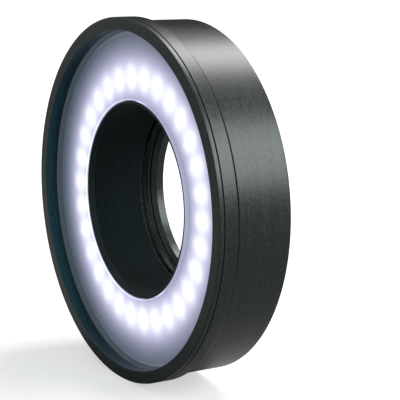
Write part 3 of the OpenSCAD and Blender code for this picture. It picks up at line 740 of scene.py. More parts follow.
@dataclass(frozen=True)
class CircuitBoard(Finish):
    """Solder mask over copper: tracks run round the ring and show as paler bands."""

    track_mm: float = 2.2
    track_colour: str = "#5d8a63"
    sways: float = 9.0
    sway: float = 1.4
    track_edge: tuple[float, float] = (0.25, 0.4)

    def detail(self, tree: Tree, shader: Node) -> None:
        """Lays the tracks under the mask.

        Args:
            tree: The material's tree.
            shader: Its shader.
        """
        radius, _, angle, _ = self.polar(tree)
        rings = maths(tree, "MULTIPLY", radius, 2 * math.pi / (self.track_mm * MM))
        swing = maths(tree, "SINE", maths(tree, "MULTIPLY", angle, self.sways))
        wave = maths(tree, "SINE", maths(tree, "MULTIPLY_ADD", swing, self.sway, rings))
        track = ranged(tree, wave, self.track_edge)
        self.spread(tree, shader, self.pattern(tree), mixed(tree, track, self.colour, self.track_colour))


@dataclass(frozen=True)
class Insulation(Finish):
    """Vinyl wire: the inner lead of each pair is dark and the outer one coloured."""

    second: str = "#16161a"
    divide_mm: float = 50.0

    def detail(self, tree: Tree, shader: Node) -> None:
        """Picks the colour of a lead by its distance from the axis."""
        outer = maths(tree, "GREATER_THAN", self.polar(tree)[0], self.divide_mm * MM)
        self.spread(tree, shader, self.pattern(tree), mixed(tree, outer, self.second, self.colour))


@dataclass(frozen=True)
class OpalAcrylic(Finish):
    """Frosted acrylic: clear, with a faint painted glow as a veil of scattered light, and a painted glow
    where light leaves its edges.

    The painted glow on the inner wall is bright when the wall is seen through the sheet and dark when it is
    seen from the bore.
    """

    inner_edge_mm: tuple[float, float] = (40.0, 40.2)
    chamfer_end_mm: float = -30.3
    # the colours below are painted glow that the pane gives off: at its inner edge, on its inner wall, as a
    # veil over it and near its outer rim
    edge_glow_colour: str = "#a0a0ae"
    wall_glow_colour: str = "#20222c"
    piped_glow_colour: str = "#a6a8c4"
    veil_glow_colour: str = "#172127"
    outer_rim_mm: tuple[float, float] = (65.3, 66.1)
    rim_front_mm: float = -30.55
    # painted glow near the outer rim, behind the bezel's front, that lightens the shade there
    rim_glow_colour: str = "#3c434a"
    gloss: float = 0.6
    gloss_roughness: float = 0.2

    def detail(self, tree: Tree, shader: Node) -> None:
        """Makes the sheet clear and paints a glow on it: a faint veil, and the light that it pipes out of its
        two edges.

        Args:
            tree: The material's tree.
            shader: Its shader.
        """
        radius, depth, _, _ = self.polar(tree)
        within = add(tree, "ShaderNodeNewGeometry").outputs["Backfacing"]
        wall = mixed(tree, within, self.wall_glow_colour, self.piped_glow_colour)
        behind = maths(tree, "GREATER_THAN", depth, self.chamfer_end_mm * MM)
        edge = mixed(tree, behind, self.edge_glow_colour, wall)
        past_edge = ranged(tree, radius, tuple(mm * MM for mm in self.inner_edge_mm))
        near_rim = ranged(tree, radius, tuple(mm * MM for mm in self.outer_rim_mm))
        hidden = maths(tree, "GREATER_THAN", depth, self.rim_front_mm * MM)
        veil = mixed(tree, maths(tree, "MULTIPLY", near_rim, hidden), self.veil_glow_colour, self.rim_glow_colour)
        haze = (self.roughness - self.rough_shift, self.roughness + self.rough_shift)
        feed(tree, shader, {
            "Transmission Weight": 1.0,
            "Coat Weight": self.gloss,
            "Coat Roughness": self.gloss_roughness,
            "Emission Strength": 1.0,
            # the pane gives off the painted glow as light
            "Emission Color": mixed(tree, past_edge, edge, veil),
            "Roughness": ranged(tree, self.pattern(tree), target=haze),
        })


@dataclass(frozen=True)
class LitFilm(Finish):
    """Diffuser film lit from behind: a white spot before each diode in a lavender glow that dies away.

    The light is rolled off towards white as in a photograph, and is a little weaker at the two sides.
    """

    spot_across_mm: float = 1.9
    spot_along_mm: float = 2.5
    spot_light: float = 4.0
    glow_tint: tuple[float, float, float] = (0.72, 0.65, 1.0)
    glow_light: float = 2.9
    glow_fall_mm: float = 3.9
    glow_core_mm: float = 2.5
    side_loss: float = 0.25
    strength: float = 1.12

    def detail(self, tree: Tree, shader: Node) -> None:
        """Adds the spots and the glow as light that comes off the film.

        Args:
            tree: The material's tree.
            shader: Its shader.
        """
        radius, _, angle, _ = self.polar(tree)
        off = maths(tree, "SUBTRACT", radius, DIODE_RING_MM * MM)
        spot = self.spots(tree, off, angle)
        glow = self.glow(tree, off, angle)
        channels = []
        for tint in self.glow_tint:
            dose = maths(tree, "MULTIPLY_ADD", glow, -tint * self.glow_light, spot)
            channels.append(maths(tree, "SUBTRACT", 1.0, maths(tree, "EXPONENT", dose)))
        light = add(tree, "ShaderNodeCombineColor", dict(enumerate(channels))).outputs[0]
        feed(tree, shader, {"Emission Color": light, "Emission Strength": self.strength})
        super().detail(tree, shader)

    def spots(self, tree: Tree, off: Socket, angle: Socket) -> Socket:
        """Soft oval spots before the diodes, as a negative dose.

        Args:
            tree: The material's tree.
            off: Distance outwards from the diodes' circle.
            angle: Angle about the axis.

        Returns:
            The dose.
        """
        step = 2 * math.pi / DIODE_COUNT
        sector = maths(tree, "FRACT", maths(tree, "MULTIPLY_ADD", angle, 1 / step, 0.5))
        aside = maths(tree, "SUBTRACT", sector, 0.5)
        across = maths(tree, "MULTIPLY", aside, step * DIODE_RING_MM / self.spot_across_mm)
        along = maths(tree, "MULTIPLY", off, 1 / (self.spot_along_mm * MM))
        flat = add(tree, "ShaderNodeCombineXYZ", {"X": across, "Y": along}).outputs[0]
        square = add(tree, "ShaderNodeVectorMath", {0: flat, 1: flat}, operation="DOT_PRODUCT")
        bell = maths(tree, "EXPONENT", maths(tree, "MULTIPLY", square.outputs["Value"], -0.5))
        return maths(tree, "MULTIPLY", bell, -self.spot_light)

    def glow(self, tree: Tree, off: Socket, angle: Socket) -> Socket:
        """Light that dies away inwards and outwards from the diodes' circle, from 1.

        Args:
            tree: The material's tree.
            off: Distance outwards from the diodes' circle.
            angle: Angle about the axis.

        Returns:
            The share of the glow.
        """
        core = self.glow_core_mm * MM
        away = maths(tree, "SQRT", maths(tree, "MULTIPLY_ADD", off, off, core * core))
        past = maths(tree, "SUBTRACT", away, core)
        share = maths(tree, "EXPONENT", maths(tree, "MULTIPLY", past, -1 / (self.glow_fall_mm * MM)))
        across = maths(tree, "COSINE", angle)
        aside = maths(tree, "MULTIPLY", across, across)
        return maths(tree, "MULTIPLY", share, maths(tree, "MULTIPLY_ADD", aside, -self.side_loss, 1.0))


@dataclass(frozen=True)
class Phosphor(Finish):
    """Silicone dome over yellow phosphor, glowing."""

    light: str = "#fff6e0"
    strength: float = 0.6

    def detail(self, tree: Tree, shader: Node) -> None:
        """Adds the glow to the grain."""
        feed(tree, shader, {"Emission Color": linear(self.light), "Emission Strength": self.strength})
        super().detail(tree, shader)


# Turned aluminium, blasted and dyed black: a soft grey sheen, mottled by the blast and faintly lined.
# The blast's grain is drawn some ten times too coarse, so that it shows.
SATIN_BLACK = Turned("satin_black_anodised_aluminium", "#2e3433", 0.35, metallic=1.0, shade=0.4,
                     rough_shift=0.07, bump=0.2, bump_mm=0.03)
# The same metal on the bezel: a deep blue sheen is painted on the wall of its opening, as the reflection of
# the lit window
BEZEL_BLACK = BezelMetal(**{**asdict(SATIN_BLACK), "name": "satin_black_anodised_bezel"})
# The same metal left as cut: the heat spreader is pale, with plain lathe marks
CUT_ALUMINIUM = Turned("cut_aluminium", "#c9cbce", 0.32, metallic=1.0, shade=0.08, rough_shift=0.06)
# Flocked-looking black dip on the baffle: almost no sheen, so that stray light dies in the bore
BAFFLE_COAT = Finish("matt_black_baffle_coat", "#122021", 0.6, ior=1.25, grain_mm=0.3, shade=0.3, bump=0.3)
# Blackened screws and snap rings: dark grey, with a hard small glint on each edge
BLACK_OXIDE = Finish("black_oxide_steel", "#47474a", 0.34, metallic=1.0, grain_mm=0.35, shade=0.2)
# Plated nuts, screws and spring: bright and faintly warm, so the hardware stands out on the black
NICKEL_STEEL = Finish("nickel_plated_steel", "#b9bbbe", 0.24, metallic=1.0, grain_mm=0.5, shade=0.06,
                      bump=0.06)
# Centre pin and board pillars: a soft yellow gleam down in the socket
TURNED_BRASS = Finish("turned_brass", "#c4a25a", 0.26, metallic=1.0, grain_mm=0.5, shade=0.08, bump=0.06)
# Dull seal at the window's rim: a soft dark line without a glint
GASKET_RUBBER = Finish("gasket_rubber", "#17181a", 0.75, ior=1.52, grain_mm=0.4)
# Reflector tray and wire headers: clean white with a broad soft sheen
WHITE_POLYCARBONATE = Finish("white_polycarbonate", "#eceae6", 0.45, ior=1.58, grain_mm=0.9, shade=0.04,
                             bump=0.05)
# Button, switch and inlet: a mould's fine texture, darker and less silky than the metal around them.
# The texture is drawn about five times too coarse, so that it shows.
BLACK_NYLON = Finish("moulded_black_nylon", "#1b1c1e", 0.48, ior=1.53, grain_mm=0.35, shade=0.2, bump=0.25)
# Diode packages: chalk white squares
CERAMIC_WHITE = Finish("white_diode_package", "#f2f1ec", 0.4, ior=1.6, grain_mm=0.8, shade=0.04)
# Diode domes: lemon yellow silicone that glows
YELLOW_DOME = Phosphor("phosphor_dome", "#f3dc7c", 0.3, ior=1.41, grain_mm=0.5, shade=0.06, bump=0.02)
# Diode board: white mask in which the copper shows as faint grey bands
WHITE_MASK = CircuitBoard("white_solder_mask", "#dfe3df", 0.42, ior=1.55, track_colour="#cdd4cf", shade=0.04)
# Driver board: glossy green with paler tracks
GREEN_MASK = CircuitBoard("green_solder_mask", "#1d5a38", 0.38, ior=1.55, shade=0.1)
# Leads: a red and a black of each pair, smooth and waxy
RED_VINYL = Insulation("vinyl_wire", "#a8241f", 0.5, ior=1.53, grain_mm=0.8, shade=0.08, bump=0.05)
# Window: shows the lit film in its place under a thin haze, with a painted glow over the pane and at its
# inner edge and its rim.
# Its index is far below that of real acrylic, which would shift the film sideways behind the flat pane.
ACRYLIC = OpalAcrylic("frosted_acrylic_window", "#f6f7fb", 0.16, ior=1.03, rough_shift=0.03, grain_mm=0.5)
# Film: blue-grey when unlit, with white spots that melt into a lavender ring
FILM = LitFilm("lit_diffuser_film", "#59646b", 0.7, ior=1.58, grain_mm=0.8, shade=0.05, bump=0.03)
# Dial print and pointer paint: flat off-white, slightly uneven
WHITE_INK = Finish("white_print", "#e6e6e2", 0.55, grain_mm=0.25, shade=0.08, bump=0.1)


def place(piece: Object, body: Body, slot: Slot, finish: Finish, *nodes: str) -> Object:
    """Gives a finished piece its finish and body, and hides the nodes that it stands for.

    Args:
        piece: The object.
        body: The body that it rides on.
        slot: The record's slot that its finish comes from; not used.
        finish: Its finish.
        nodes: Nodes of the frame that it replaces.

    Returns:
        The same object.
    """
    piece.data.materials.clear()
    piece.data.materials.append(finish.material())
    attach(piece, body.value)
    if nodes:
        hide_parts(*nodes)
    LOG.info("%s: %d faces on %s, %s", piece.name, len(piece.data.polygons), body.value, finish.name)
    return piece


def dress(finish: Finish, *nodes: str) -> None:
    """Gives nodes of the frame that keep their shape a finish.

    Args:
        finish: The finish.
        nodes: The nodes' names.
    """
    for node in nodes:
        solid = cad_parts[node]
        if not solid.material_slots:
            solid.data.materials.append(finish.material())
        for entry in solid.material_slots:
            entry.material = finish.material()
        LOG.info("%s: kept as built, %s", node, finish.name)


def around(name: str, part: Object, count: int, radius: float, start: float, step: float,
           finish: Finish, centre: tuple[float, float, float] = (0.0, 0.0, 0.0)) -> Object:
    """Sets copies of a part round a circle and removes the pattern part.

    Args:
        name: The new object's name.
        part: The part, built at the origin with +X pointing outwards.
        count: Number of copies.
        radius: Radius of the circle.
        start: Angle of the first copy, from X to Z.
        step: Angle between copies.
        finish: Their finish.
        centre: Centre of the circle.

    Returns:
        One object that holds every copy.
    """
    copies = grown(name, copies_around(), {
        "Count": count, "Radius": radius, "Start": start, "Step": step, "Centre": Vector(centre),
        "Part": part, "Finish": finish.material(),
    })
    bpy.data.objects.remove(part)
    return copies


def socket_screw(name: str, screw: Screw, head_r: float, top: float, end: float) -> Object:
    """Builds a socket screw along Y, with its head at the top depth.

    Args:
        name: The object's name.
        screw: The screw's sizes.
        head_r: Radius of the head.
        top: Depth of the head's face.
        end: Depth of the shank's end.

    Returns:
        The object.
    """
    way = math.copysign(1.0, top - end)
    edge = SCREW_EDGE
    shank_r = screw.shank_r
    flat_r = screw.socket_r * math.cos(math.pi / 6)
    wall, lip = hexagon(flat_r), hexagon(flat_r + edge)
    seat = top - way * screw.head_h
    floor = (top + seat) / 2
    rings: list[Ring] = [
        (0, floor), (wall, floor), (wall, top - way * edge), (lip, top), (head_r - edge, top),
        (head_r, top - way * edge),
    ]
    rings += [] if screw.conical else [(head_r, seat)]
    rings += [(shank_r, seat), (shank_r, end + way * edge), (shank_r - edge, end), (0, end)]
    return spun(name, rings, SMALL_SEGMENTS, closed=False)


def screw_ring(name: str, node: str, screw: Screw, count: int, start: float, slot: Slot, finish: Finish,
               from_rear: bool = False) -> None:
    """Sets socket screws in the places of a node's screws.

    Args:
        name: The new object's name.
        node: The node with the screws.
        screw: Their sizes.
        count: Their number.
        start: Angle of the first screw, from X to Z.
        slot: The record's slot of their finish.
        finish: Their finish.
        from_rear: Whether they are driven in from the rear.
    """
    span = Span.of(node)
    top, end = (span.back, span.front) if from_rear else (span.front, span.back)
    pattern = socket_screw(name + "_pattern", screw, (span.outer - span.inner) / 2, top, end)
    circle_r = (span.inner + span.outer) / 2
    screws = around(name, pattern, count, circle_r, start, 2 * math.pi / count, finish)
    place(screws, Body.HOUSING, slot, finish, node)


def place_softened(name: str, node: str, width: float, slot: Slot, finish: Finish) -> None:
    """Puts a copy of a node with broken edges in its place on the housing."""
    place(softened(name, node, width), Body.HOUSING, slot, finish, node)


@dataclass(frozen=True)
class Studio:
    """Camera, soft lamps, floor, black card and white surround."""

    azimuth: float = math.radians(57.9515)
    elevation: float = math.radians(10.7134)
    roll: float = math.radians(0.6138)
    distance_mm: float = 554.6
    aim_right_mm: float = 31.38
    aim_up_mm: float = 0.58
    focal_mm: float = 126.2
    sensor_mm: float = 36.0
    floor_side: float = 9.0
    floor_near: float = 0.15
    floor_far: float = 0.9
    near_painted_light: float = 0.55
    far_painted_light: float = 0.9
    fill: float = 0.55
    card_spot: tuple[float, float, float] = (-0.656, 0.426, 0.164)
    card_size: tuple[float, float] = (1.04, 0.9)
    floor_colour: str = "#b2b8b6"
    card_colour: str = "#101010"
    paper_roughness: float = 0.9
    clip_start: float = 0.01
    lamp_distance: float = 0.9
    lamp_tint: tuple[float, float, float] = (1.0, 0.87, 0.885)
    lamps: tuple[Softbox, ...] = (
        Softbox("top_softbox", math.radians(60.1), (0.32, 0.5), 17.1),
        Softbox("side_softbox", math.radians(23.4), (0.57, 0.5), 10.4),
    )

    def build(self) -> None:
        """Makes the whole stage."""
        bpy.context.scene.view_settings.view_transform = "Standard"
        self.camera()
        self.surround()
        self.floor()
        self.card()
        for lamp in self.lamps:
            self.softbox(lamp)

    def towards_camera(self) -> Vector:
        """Direction from the object to the camera."""
        across = math.cos(self.elevation)
        side, ahead = math.sin(self.azimuth) * across, -math.cos(self.azimuth) * across
        return Vector((side, ahead, math.sin(self.elevation)))

    def camera(self) -> None:
        """Sets the camera at the photograph's viewing angle, aimed off the front face's centre."""
        back = self.towards_camera()
        level = Vector((math.cos(self.azimuth), math.sin(self.azimuth), 0))
        upright = back.cross(level)
        right = level * math.cos(self.roll) + upright * math.sin(self.roll)
        up = back.cross(right)
        front_centre = Vector((0, Span.of("front_bezel").front, 0))
        lens = bpy.data.cameras.new("camera")
        lens.lens = self.focal_mm
        lens.sensor_width = self.sensor_mm
        lens.sensor_fit = "HORIZONTAL"
        lens.clip_start = self.clip_start
        camera = linked("camera", lens)
        spot = front_centre + (back * self.distance_mm + right * self.aim_right_mm + up * self.aim_up_mm) * MM
        camera.matrix_world = Matrix.Translation(spot) @ Matrix((right, up, back)).transposed().to_4x4()
        bpy.context.scene.camera = camera

    def surround(self) -> None:
        """Makes a world that is white to the eye, to gloss and to glass, and a soft fill for the rest."""
        world = bpy.data.worlds.new("white_surround")
        world.use_nodes = True
        tree = world.node_tree
        path = add(tree, "ShaderNodeLightPath").outputs
        seen = maths(tree, "MAXIMUM", path["Is Camera Ray"], path["Is Glossy Ray"])
        clear = maths(tree, "MAXIMUM", seen, path["Is Transmission Ray"])
        level = ranged(tree, clear, target=(self.fill, 1.0))
        feed(tree, tree.nodes["Background"], {"Color": linear(WHITE), "Strength": level})
        bpy.context.scene.world = world

    def sheet(self, name: str, corners: Sequence[Vector], paper: str, colour: str) -> tuple[Object, Tree]:
        """Spreads a sheet of dull paper.

        Args:
            name: The sheet's name.
            corners: Its corners in order.
            paper: Name of its material.
            colour: The paper's colour as a hex value.

        Returns:
            The sheet and its material's tree.
        """
        shape = bmesh.new()
        shape.faces.new([shape.verts.new(corner) for corner in corners])
        sheet = finished(name, shape)
        material = bpy.data.materials.new(paper)
        material.use_nodes = True
        feed(material.node_tree, material.node_tree.nodes["Principled BSDF"], {
            "Base Color": linear(colour), "Roughness": self.paper_roughness, "Specular IOR Level": 0.0,
        })
        sheet.data.materials.append(material)
        return sheet, material.node_tree

    def floor(self) -> None:
        """Lays a pale floor under the rim that keeps the soft shadow, with painted light that only the camera
        sees, weak near the object and strong afar, so that the far floor shows white.
        """
        half = self.floor_side / 2
        corners = [Vector((i * half, j * half, CAD_BOX[0][2])) for i, j in SQUARE]
        floor, tree = self.sheet("floor", corners, "white_paper_floor", self.floor_colour)
        seen = add(tree, "ShaderNodeLightPath").outputs["Is Camera Ray"]
        coords = add(tree, "ShaderNodeTexCoord").outputs["Object"]
        away = add(tree, "ShaderNodeVectorMath", {0: coords}, operation="LENGTH").outputs["Value"]
        # painted light for camera rays only: weak near the object so that its shadow shows, strong afar so
        # that the floor shows white
        lift = ranged(tree, away, (self.floor_near, self.floor_far), (self.near_painted_light, self.far_painted_light))
        feed(tree, tree.nodes["Principled BSDF"], {
            "Emission Color": linear(WHITE), "Emission Strength": maths(tree, "MULTIPLY", lift, seen),
        })

    def card(self) -> None:
        """Stands a black card behind the object, out of the picture, for the top of the drum to mirror."""
        spot = Vector(self.card_spot)
        side = spot.cross(Vector((0, 0, 1))).normalized() * self.card_size[0] / 2
        rise = side.cross(spot).normalized() * self.card_size[1] / 2
        corners = [spot + i * side + j * rise for i, j in SQUARE]
        card, _ = self.sheet("black_card", corners, "black_paper_card", self.card_colour)
        card.visible_camera = False
        card.visible_diffuse = False
        card.visible_transmission = False
        card.visible_shadow = False

    def softbox(self, box: Softbox) -> None:
        """Hangs a rectangular lamp where the drum's side mirrors it to the camera.

        Args:
            box: The lamp's name, place, size and brightness.
        """
        normal = Vector((math.cos(box.angle), 0, math.sin(box.angle)))
        seen = self.towards_camera()
        way = 2 * normal.dot(seen) * normal - seen
        foot = normal * Span.of("housing").outer + Vector((0, Span.of("housing").front, 0))
        lamp = bpy.data.lights.new(box.name, "AREA")
        lamp.shape = "RECTANGLE"
        lamp.size, lamp.size_y = box.size
        lamp.energy = box.radiance * math.pi * box.size[0] * box.size[1]
        lamp.color = self.lamp_tint
        holder = linked(box.name, lamp)
        around_drum = Vector((0, 1, 0)).cross(way).normalized()
        turn = Matrix((around_drum, way.cross(around_drum), way)).transposed().to_4x4()
        holder.matrix_world = Matrix.Translation(foot + way * self.lamp_distance) @ turn
        holder.visible_camera = False


@dataclass(frozen=True)
class FrontBezel:
    """The turned ring at the front, with a thin groove around it, a window rebate and a threaded skirt."""

    rim_t: float = 2.0 * MM
    groove_w: float = 0.4 * MM
    groove_depth: float = 0.5 * MM
    seam_gap: float = 1.15 * MM
    skirt_wall: float = 1.0 * MM
    recess: float = 5.0 * MM
    window_gap: float = 0.3 * MM
    clip_groove: float = 0.5 * MM
    clip_groove_w: float = 0.85 * MM
    thread_pitch: float = 1.5 * MM
    thread_depth: float = 0.4 * MM
    thread_start: float = 0.4    # in pitches
    thread_w: float = 0.5        # in pitches
    thread_edge: float = 0.05 * MM
    edge: float = 0.35 * MM
    fine_edge: float = 0.15 * MM

    def build(self) -> None:
        """Turns the ring and dresses its snap ring."""
        ring = Span.of("front_bezel")
        outer_r = ring.outer - ROUNDING
        front = ring.front + ROUNDING
        thread_front = Span.of("housing").front
        seam = thread_front - self.seam_gap
        window_back = Span.of("window").back
        skirt_r = Span.of("window").outer + self.window_gap + self.skirt_wall
        rebate_r = skirt_r - self.skirt_wall
        groove_r = outer_r - self.groove_depth
        groove_front = front + self.rim_t
        groove_back = groove_front + self.groove_w
        corners = [
            Corner(ring.inner, front, self.fine_edge),
            Corner(outer_r, front, self.edge),
            Corner(outer_r, groove_front, self.fine_edge),
            Corner(groove_r, groove_front, self.fine_edge),
            Corner(groove_r, groove_back, self.fine_edge),
            Corner(outer_r, groove_back, self.fine_edge),
            Corner(outer_r, seam, self.edge),
            Corner(skirt_r, seam, self.fine_edge),
        ]
        turns = int((ring.back - thread_front) / self.thread_pitch)
        for i in range(turns):
            start = thread_front + (i + self.thread_start) * self.thread_pitch
            for depth, share in ((0.0, 0.0), (self.thread_depth, self.thread_w / 2), (0.0, self.thread_w)):
                corners.append(Corner(skirt_r - depth, start + share * self.thread_pitch, self.thread_edge))
        corners += [
            Corner(skirt_r, ring.back, self.fine_edge),
            Corner(rebate_r, ring.back, self.fine_edge),
            Corner(rebate_r, window_back + self.clip_groove_w),
            Corner(rebate_r + self.clip_groove, window_back + self.clip_groove_w),
            Corner(rebate_r + self.clip_groove, window_back),
            Corner(rebate_r, window_back),
            Corner(rebate_r, ring.front + self.recess),
            Corner(ring.inner, ring.front + self.recess, self.fine_edge),
        ]
        place(spun("bezel_ring", rounded(corners)), Body.BEZEL, Slot.ANODISED, BEZEL_BLACK, "front_bezel")
        dress(BLACK_OXIDE, "window_clip")


@dataclass(frozen=True)
class WindowUnit:
    """The clear annular window and its gasket."""

    chamfer: float = 0.4 * MM
    edge: float = 0.1 * MM

    def build(self) -> None:
        """Turns the pane, whose inner chamfer has a painted glow."""
        pane = Span.of("window")
        corners = [
            Corner(pane.inner, pane.front + self.chamfer, self.edge),
            Corner(pane.inner + self.chamfer, pane.front, self.edge),
            Corner(pane.outer, pane.front, self.edge),
            Corner(pane.outer, pane.back, self.edge),
            Corner(pane.inner, pane.back, self.edge),
        ]
        place(spun("window_pane", rounded(corners)), Body.WINDOW, Slot.WINDOW, ACRYLIC, "window")
        dress(GASKET_RUBBER, "bezel_gasket")


@dataclass(frozen=True)
class LightEngine:
    """Film, reflector tray, diodes, their board and the heat spreader."""

    ring_r: float = DIODE_RING_MM * MM
    package_w: float = 5.0 * MM
    package_edge: float = 0.25 * MM
    dome_r: float = 2.1 * MM
    dome_steps: int = 8
    dome_segments: int = 32
    film_t: float = 0.1 * MM
    screw_count: int = 6
    cap_screw: Screw = Screw(1.5 * MM, 1.2 * MM, 1.25 * MM, conical=False)
    flat_screw: Screw = Screw(1.3 * MM, 1.0 * MM, 1.5 * MM)

    def build(self) -> None:
        """Lays the film, dresses the flat pieces and sets the diodes and screws in their rings."""
        self.film()
        dress(WHITE_POLYCARBONATE, "reflector_tray")
        dress(WHITE_MASK, "led_board")
        dress(CUT_ALUMINIUM, "heat_spreader")
        self.diodes()
        self.screws()

    def film(self) -> None:
        """Turns the film, which lies on the tray and is turned up at its inner rim."""
        sheet = Span.of("diffuser_film")
        face = sheet.back - self.film_t
        rings = [
            (sheet.inner, sheet.front), (sheet.inner + self.film_t, sheet.front),
            (sheet.inner + self.film_t, face), (sheet.outer, face), (sheet.outer, sheet.back),
            (sheet.inner, sheet.back),
        ]
        place(spun("glow_film", rings), Body.HOUSING, Slot.FILM, FILM, "diffuser_film")

    def diodes(self) -> None:
        """Sets a square package and a dome at each place of the ring."""
        step = 2 * math.pi / DIODE_COUNT
        base = Span.of("led_bases")
        half, cut = self.package_w / 2, self.package_edge
        outline = [(half, half - cut), (half, cut - half), (half - cut, -half), (cut - half, -half),
                   (-half, cut - half), (-half, half - cut), (cut - half, half), (half - cut, half)]
        package = prism("package_pattern", outline, base.front, base.back)
        packages = around("diode_packages", package, DIODE_COUNT, self.ring_r, 0.0, step, CERAMIC_WHITE)
        place(packages, Body.HOUSING, Slot.WHITE_PLASTIC, CERAMIC_WHITE, "led_bases")
        bows = [math.pi / 2 * k / self.dome_steps for k in range(self.dome_steps + 1)]
        rings: list[Ring] = [(0, base.front)]
        rings += [(self.dome_r * math.cos(b), base.front - self.dome_r * math.sin(b)) for b in bows[:-1]]
        rings += [(0, base.front - self.dome_r)]
        dome = spun("dome_pattern", rings, self.dome_segments, closed=False)
        domes = around("diode_domes", dome, DIODE_COUNT, self.ring_r, 0.0, step, YELLOW_DOME)
        place(domes, Body.HOUSING, Slot.PHOSPHOR, YELLOW_DOME, "led_domes")

    def screws(self) -> None:
        """Sets the cap screws of the diode board and the countersunk screws of the spreader."""
        screw_ring("diode_board_screws", "board_screws", self.cap_screw, self.screw_count, 0.0, Slot.STEEL,
                   NICKEL_STEEL)
        screw_ring("heat_spreader_screws", "spreader_screws", self.flat_screw, self.screw_count,
                   math.pi / self.screw_count, Slot.STEEL, NICKEL_STEEL)


@dataclass(frozen=True)
class Drum:
    """The housing shell, its screw bosses, the rear cover and the cover's screws."""

    thread_wall: float = 1.1 * MM
    wall: float = 2.5 * MM
    shelf_w: float = 6.4 * MM
    shelf_t: float = 3.0 * MM
    thread_len: float = 4.3 * MM
    edge: float = 0.4 * MM
    fine_edge: float = 0.15 * MM
    seam_edge: float = 0.25 * MM
    boss_r: float = 3.6 * MM
    boss_count: int = 6
    boss_steps: int = 16
    boss_root: float = 1.0 * MM
    hole_r: float = 1.55 * MM
    hole_depth: float = 3.8 * MM
    overcut: float = 1.0 * MM
    pockets: tuple[tuple[str, float], ...] = (
        ("dimmer_shaft", 7.8 * MM), ("power_button", 6.3 * MM), ("inlet_pin", 5.8 * MM),
    )
    cover_edge: float = 0.15 * MM
    cover_screw: Screw = Screw(1.3 * MM, 1.0 * MM, 1.5 * MM)

    def build(self) -> None:
        """Turns the shell, joins its bosses, cuts its holes and fits the cover."""
        shell = Span.of("housing")
        shelf_front = Span.of("heat_spreader").back
        shelf_back = shelf_front + self.shelf_t
        inner_r = shell.outer - self.wall
        thread_r = shell.outer - self.thread_wall
        corners = [
            Corner(thread_r, shell.front, self.fine_edge),
            Corner(shell.outer, shell.front, self.seam_edge),
            Corner(shell.outer, shell.back, self.edge),
            Corner(inner_r, shell.back, self.fine_edge),
            Corner(inner_r, shelf_back),
            Corner(inner_r - self.shelf_w, shelf_back, self.fine_edge),
            Corner(inner_r - self.shelf_w, shelf_front, self.fine_edge),
            Corner(inner_r, shelf_front),
            Corner(inner_r, shell.front + self.thread_len),
            Corner(thread_r, shell.front + self.thread_len),
        ]
        cover_front = Span.of("rear_cover").front
        cuts = [
            self.holes("spreader_screw_holes", shelf_front - self.overcut, shelf_front + self.hole_depth),
            self.holes("cover_screw_holes", cover_front - self.hole_depth, cover_front + self.overcut),
        ]
        for node, radius in self.pockets:
            rings = [(0, shelf_front - self.overcut), (radius, shelf_front - self.overcut),
                     (radius, shelf_back + self.overcut), (0, shelf_back + self.overcut)]
            cuts.append(spun("pocket_of_" + node, rings, SMALL_SEGMENTS, middle_of(node), closed=False))
        drum = carved(spun("drum_shell", rounded(corners)), [self.bosses(shelf_back, inner_r)], cuts)
        place(drum, Body.HOUSING, Slot.ANODISED, SATIN_BLACK, "housing")
        self.cover()

    def bosses(self, shelf_back: float, inner_r: float) -> Object:
        """Shapes the screw bosses between the shelf and the cover, rooted in the shelf and the wall.

        Args:
            shelf_back: Depth of the shelf's rear face.
            inner_r: Radius of the shell's inside.

        Returns:
            The bosses, still apart from the shell.
        """
        bows = [math.pi * (0.5 + k / self.boss_steps) for k in range(self.boss_steps + 1)]
        outline = [(self.boss_r * math.cos(b), self.boss_r * math.sin(b)) for b in bows]
        web = inner_r + self.boss_root - self.circle_r()
        outline += [(web, -self.boss_r), (web, self.boss_r)]
        boss = prism("boss_pattern", outline, shelf_back - self.boss_root, Span.of("rear_cover").front)
        return self.ringed("screw_bosses", boss)

    def holes(self, name: str, front: float, back: float) -> Object:
        """Shapes the room of a ring of screw holes between two depths."""
        rings = [(0, front), (self.hole_r, front), (self.hole_r, back), (0, back)]
        return self.ringed(name, spun("hole_pattern", rings, SMALL_SEGMENTS, closed=False))

    def circle_r(self) -> float:
        """Radius of the circle on which the bosses and their screws stand."""
        return (Span.of("cover_screws").inner + Span.of("cover_screws").outer) / 2

    def ringed(self, name: str, part: Object) -> Object:
        """Sets copies of a part at the bosses, as one object."""
        step = 2 * math.pi / self.boss_count
        return around(name, part, self.boss_count, self.circle_r(), step / 2, step, SATIN_BLACK)

    def cover(self) -> None:
        """Breaks the cover's edges and sets its countersunk screws."""
        place_softened("rear_plate", "rear_cover", self.cover_edge, Slot.ANODISED, SATIN_BLACK)
        screw_ring("rear_cover_screws", "cover_screws", self.cover_screw, self.boss_count,
                   math.pi / self.boss_count, Slot.DARK_STEEL, BLACK_OXIDE, from_rear=True)


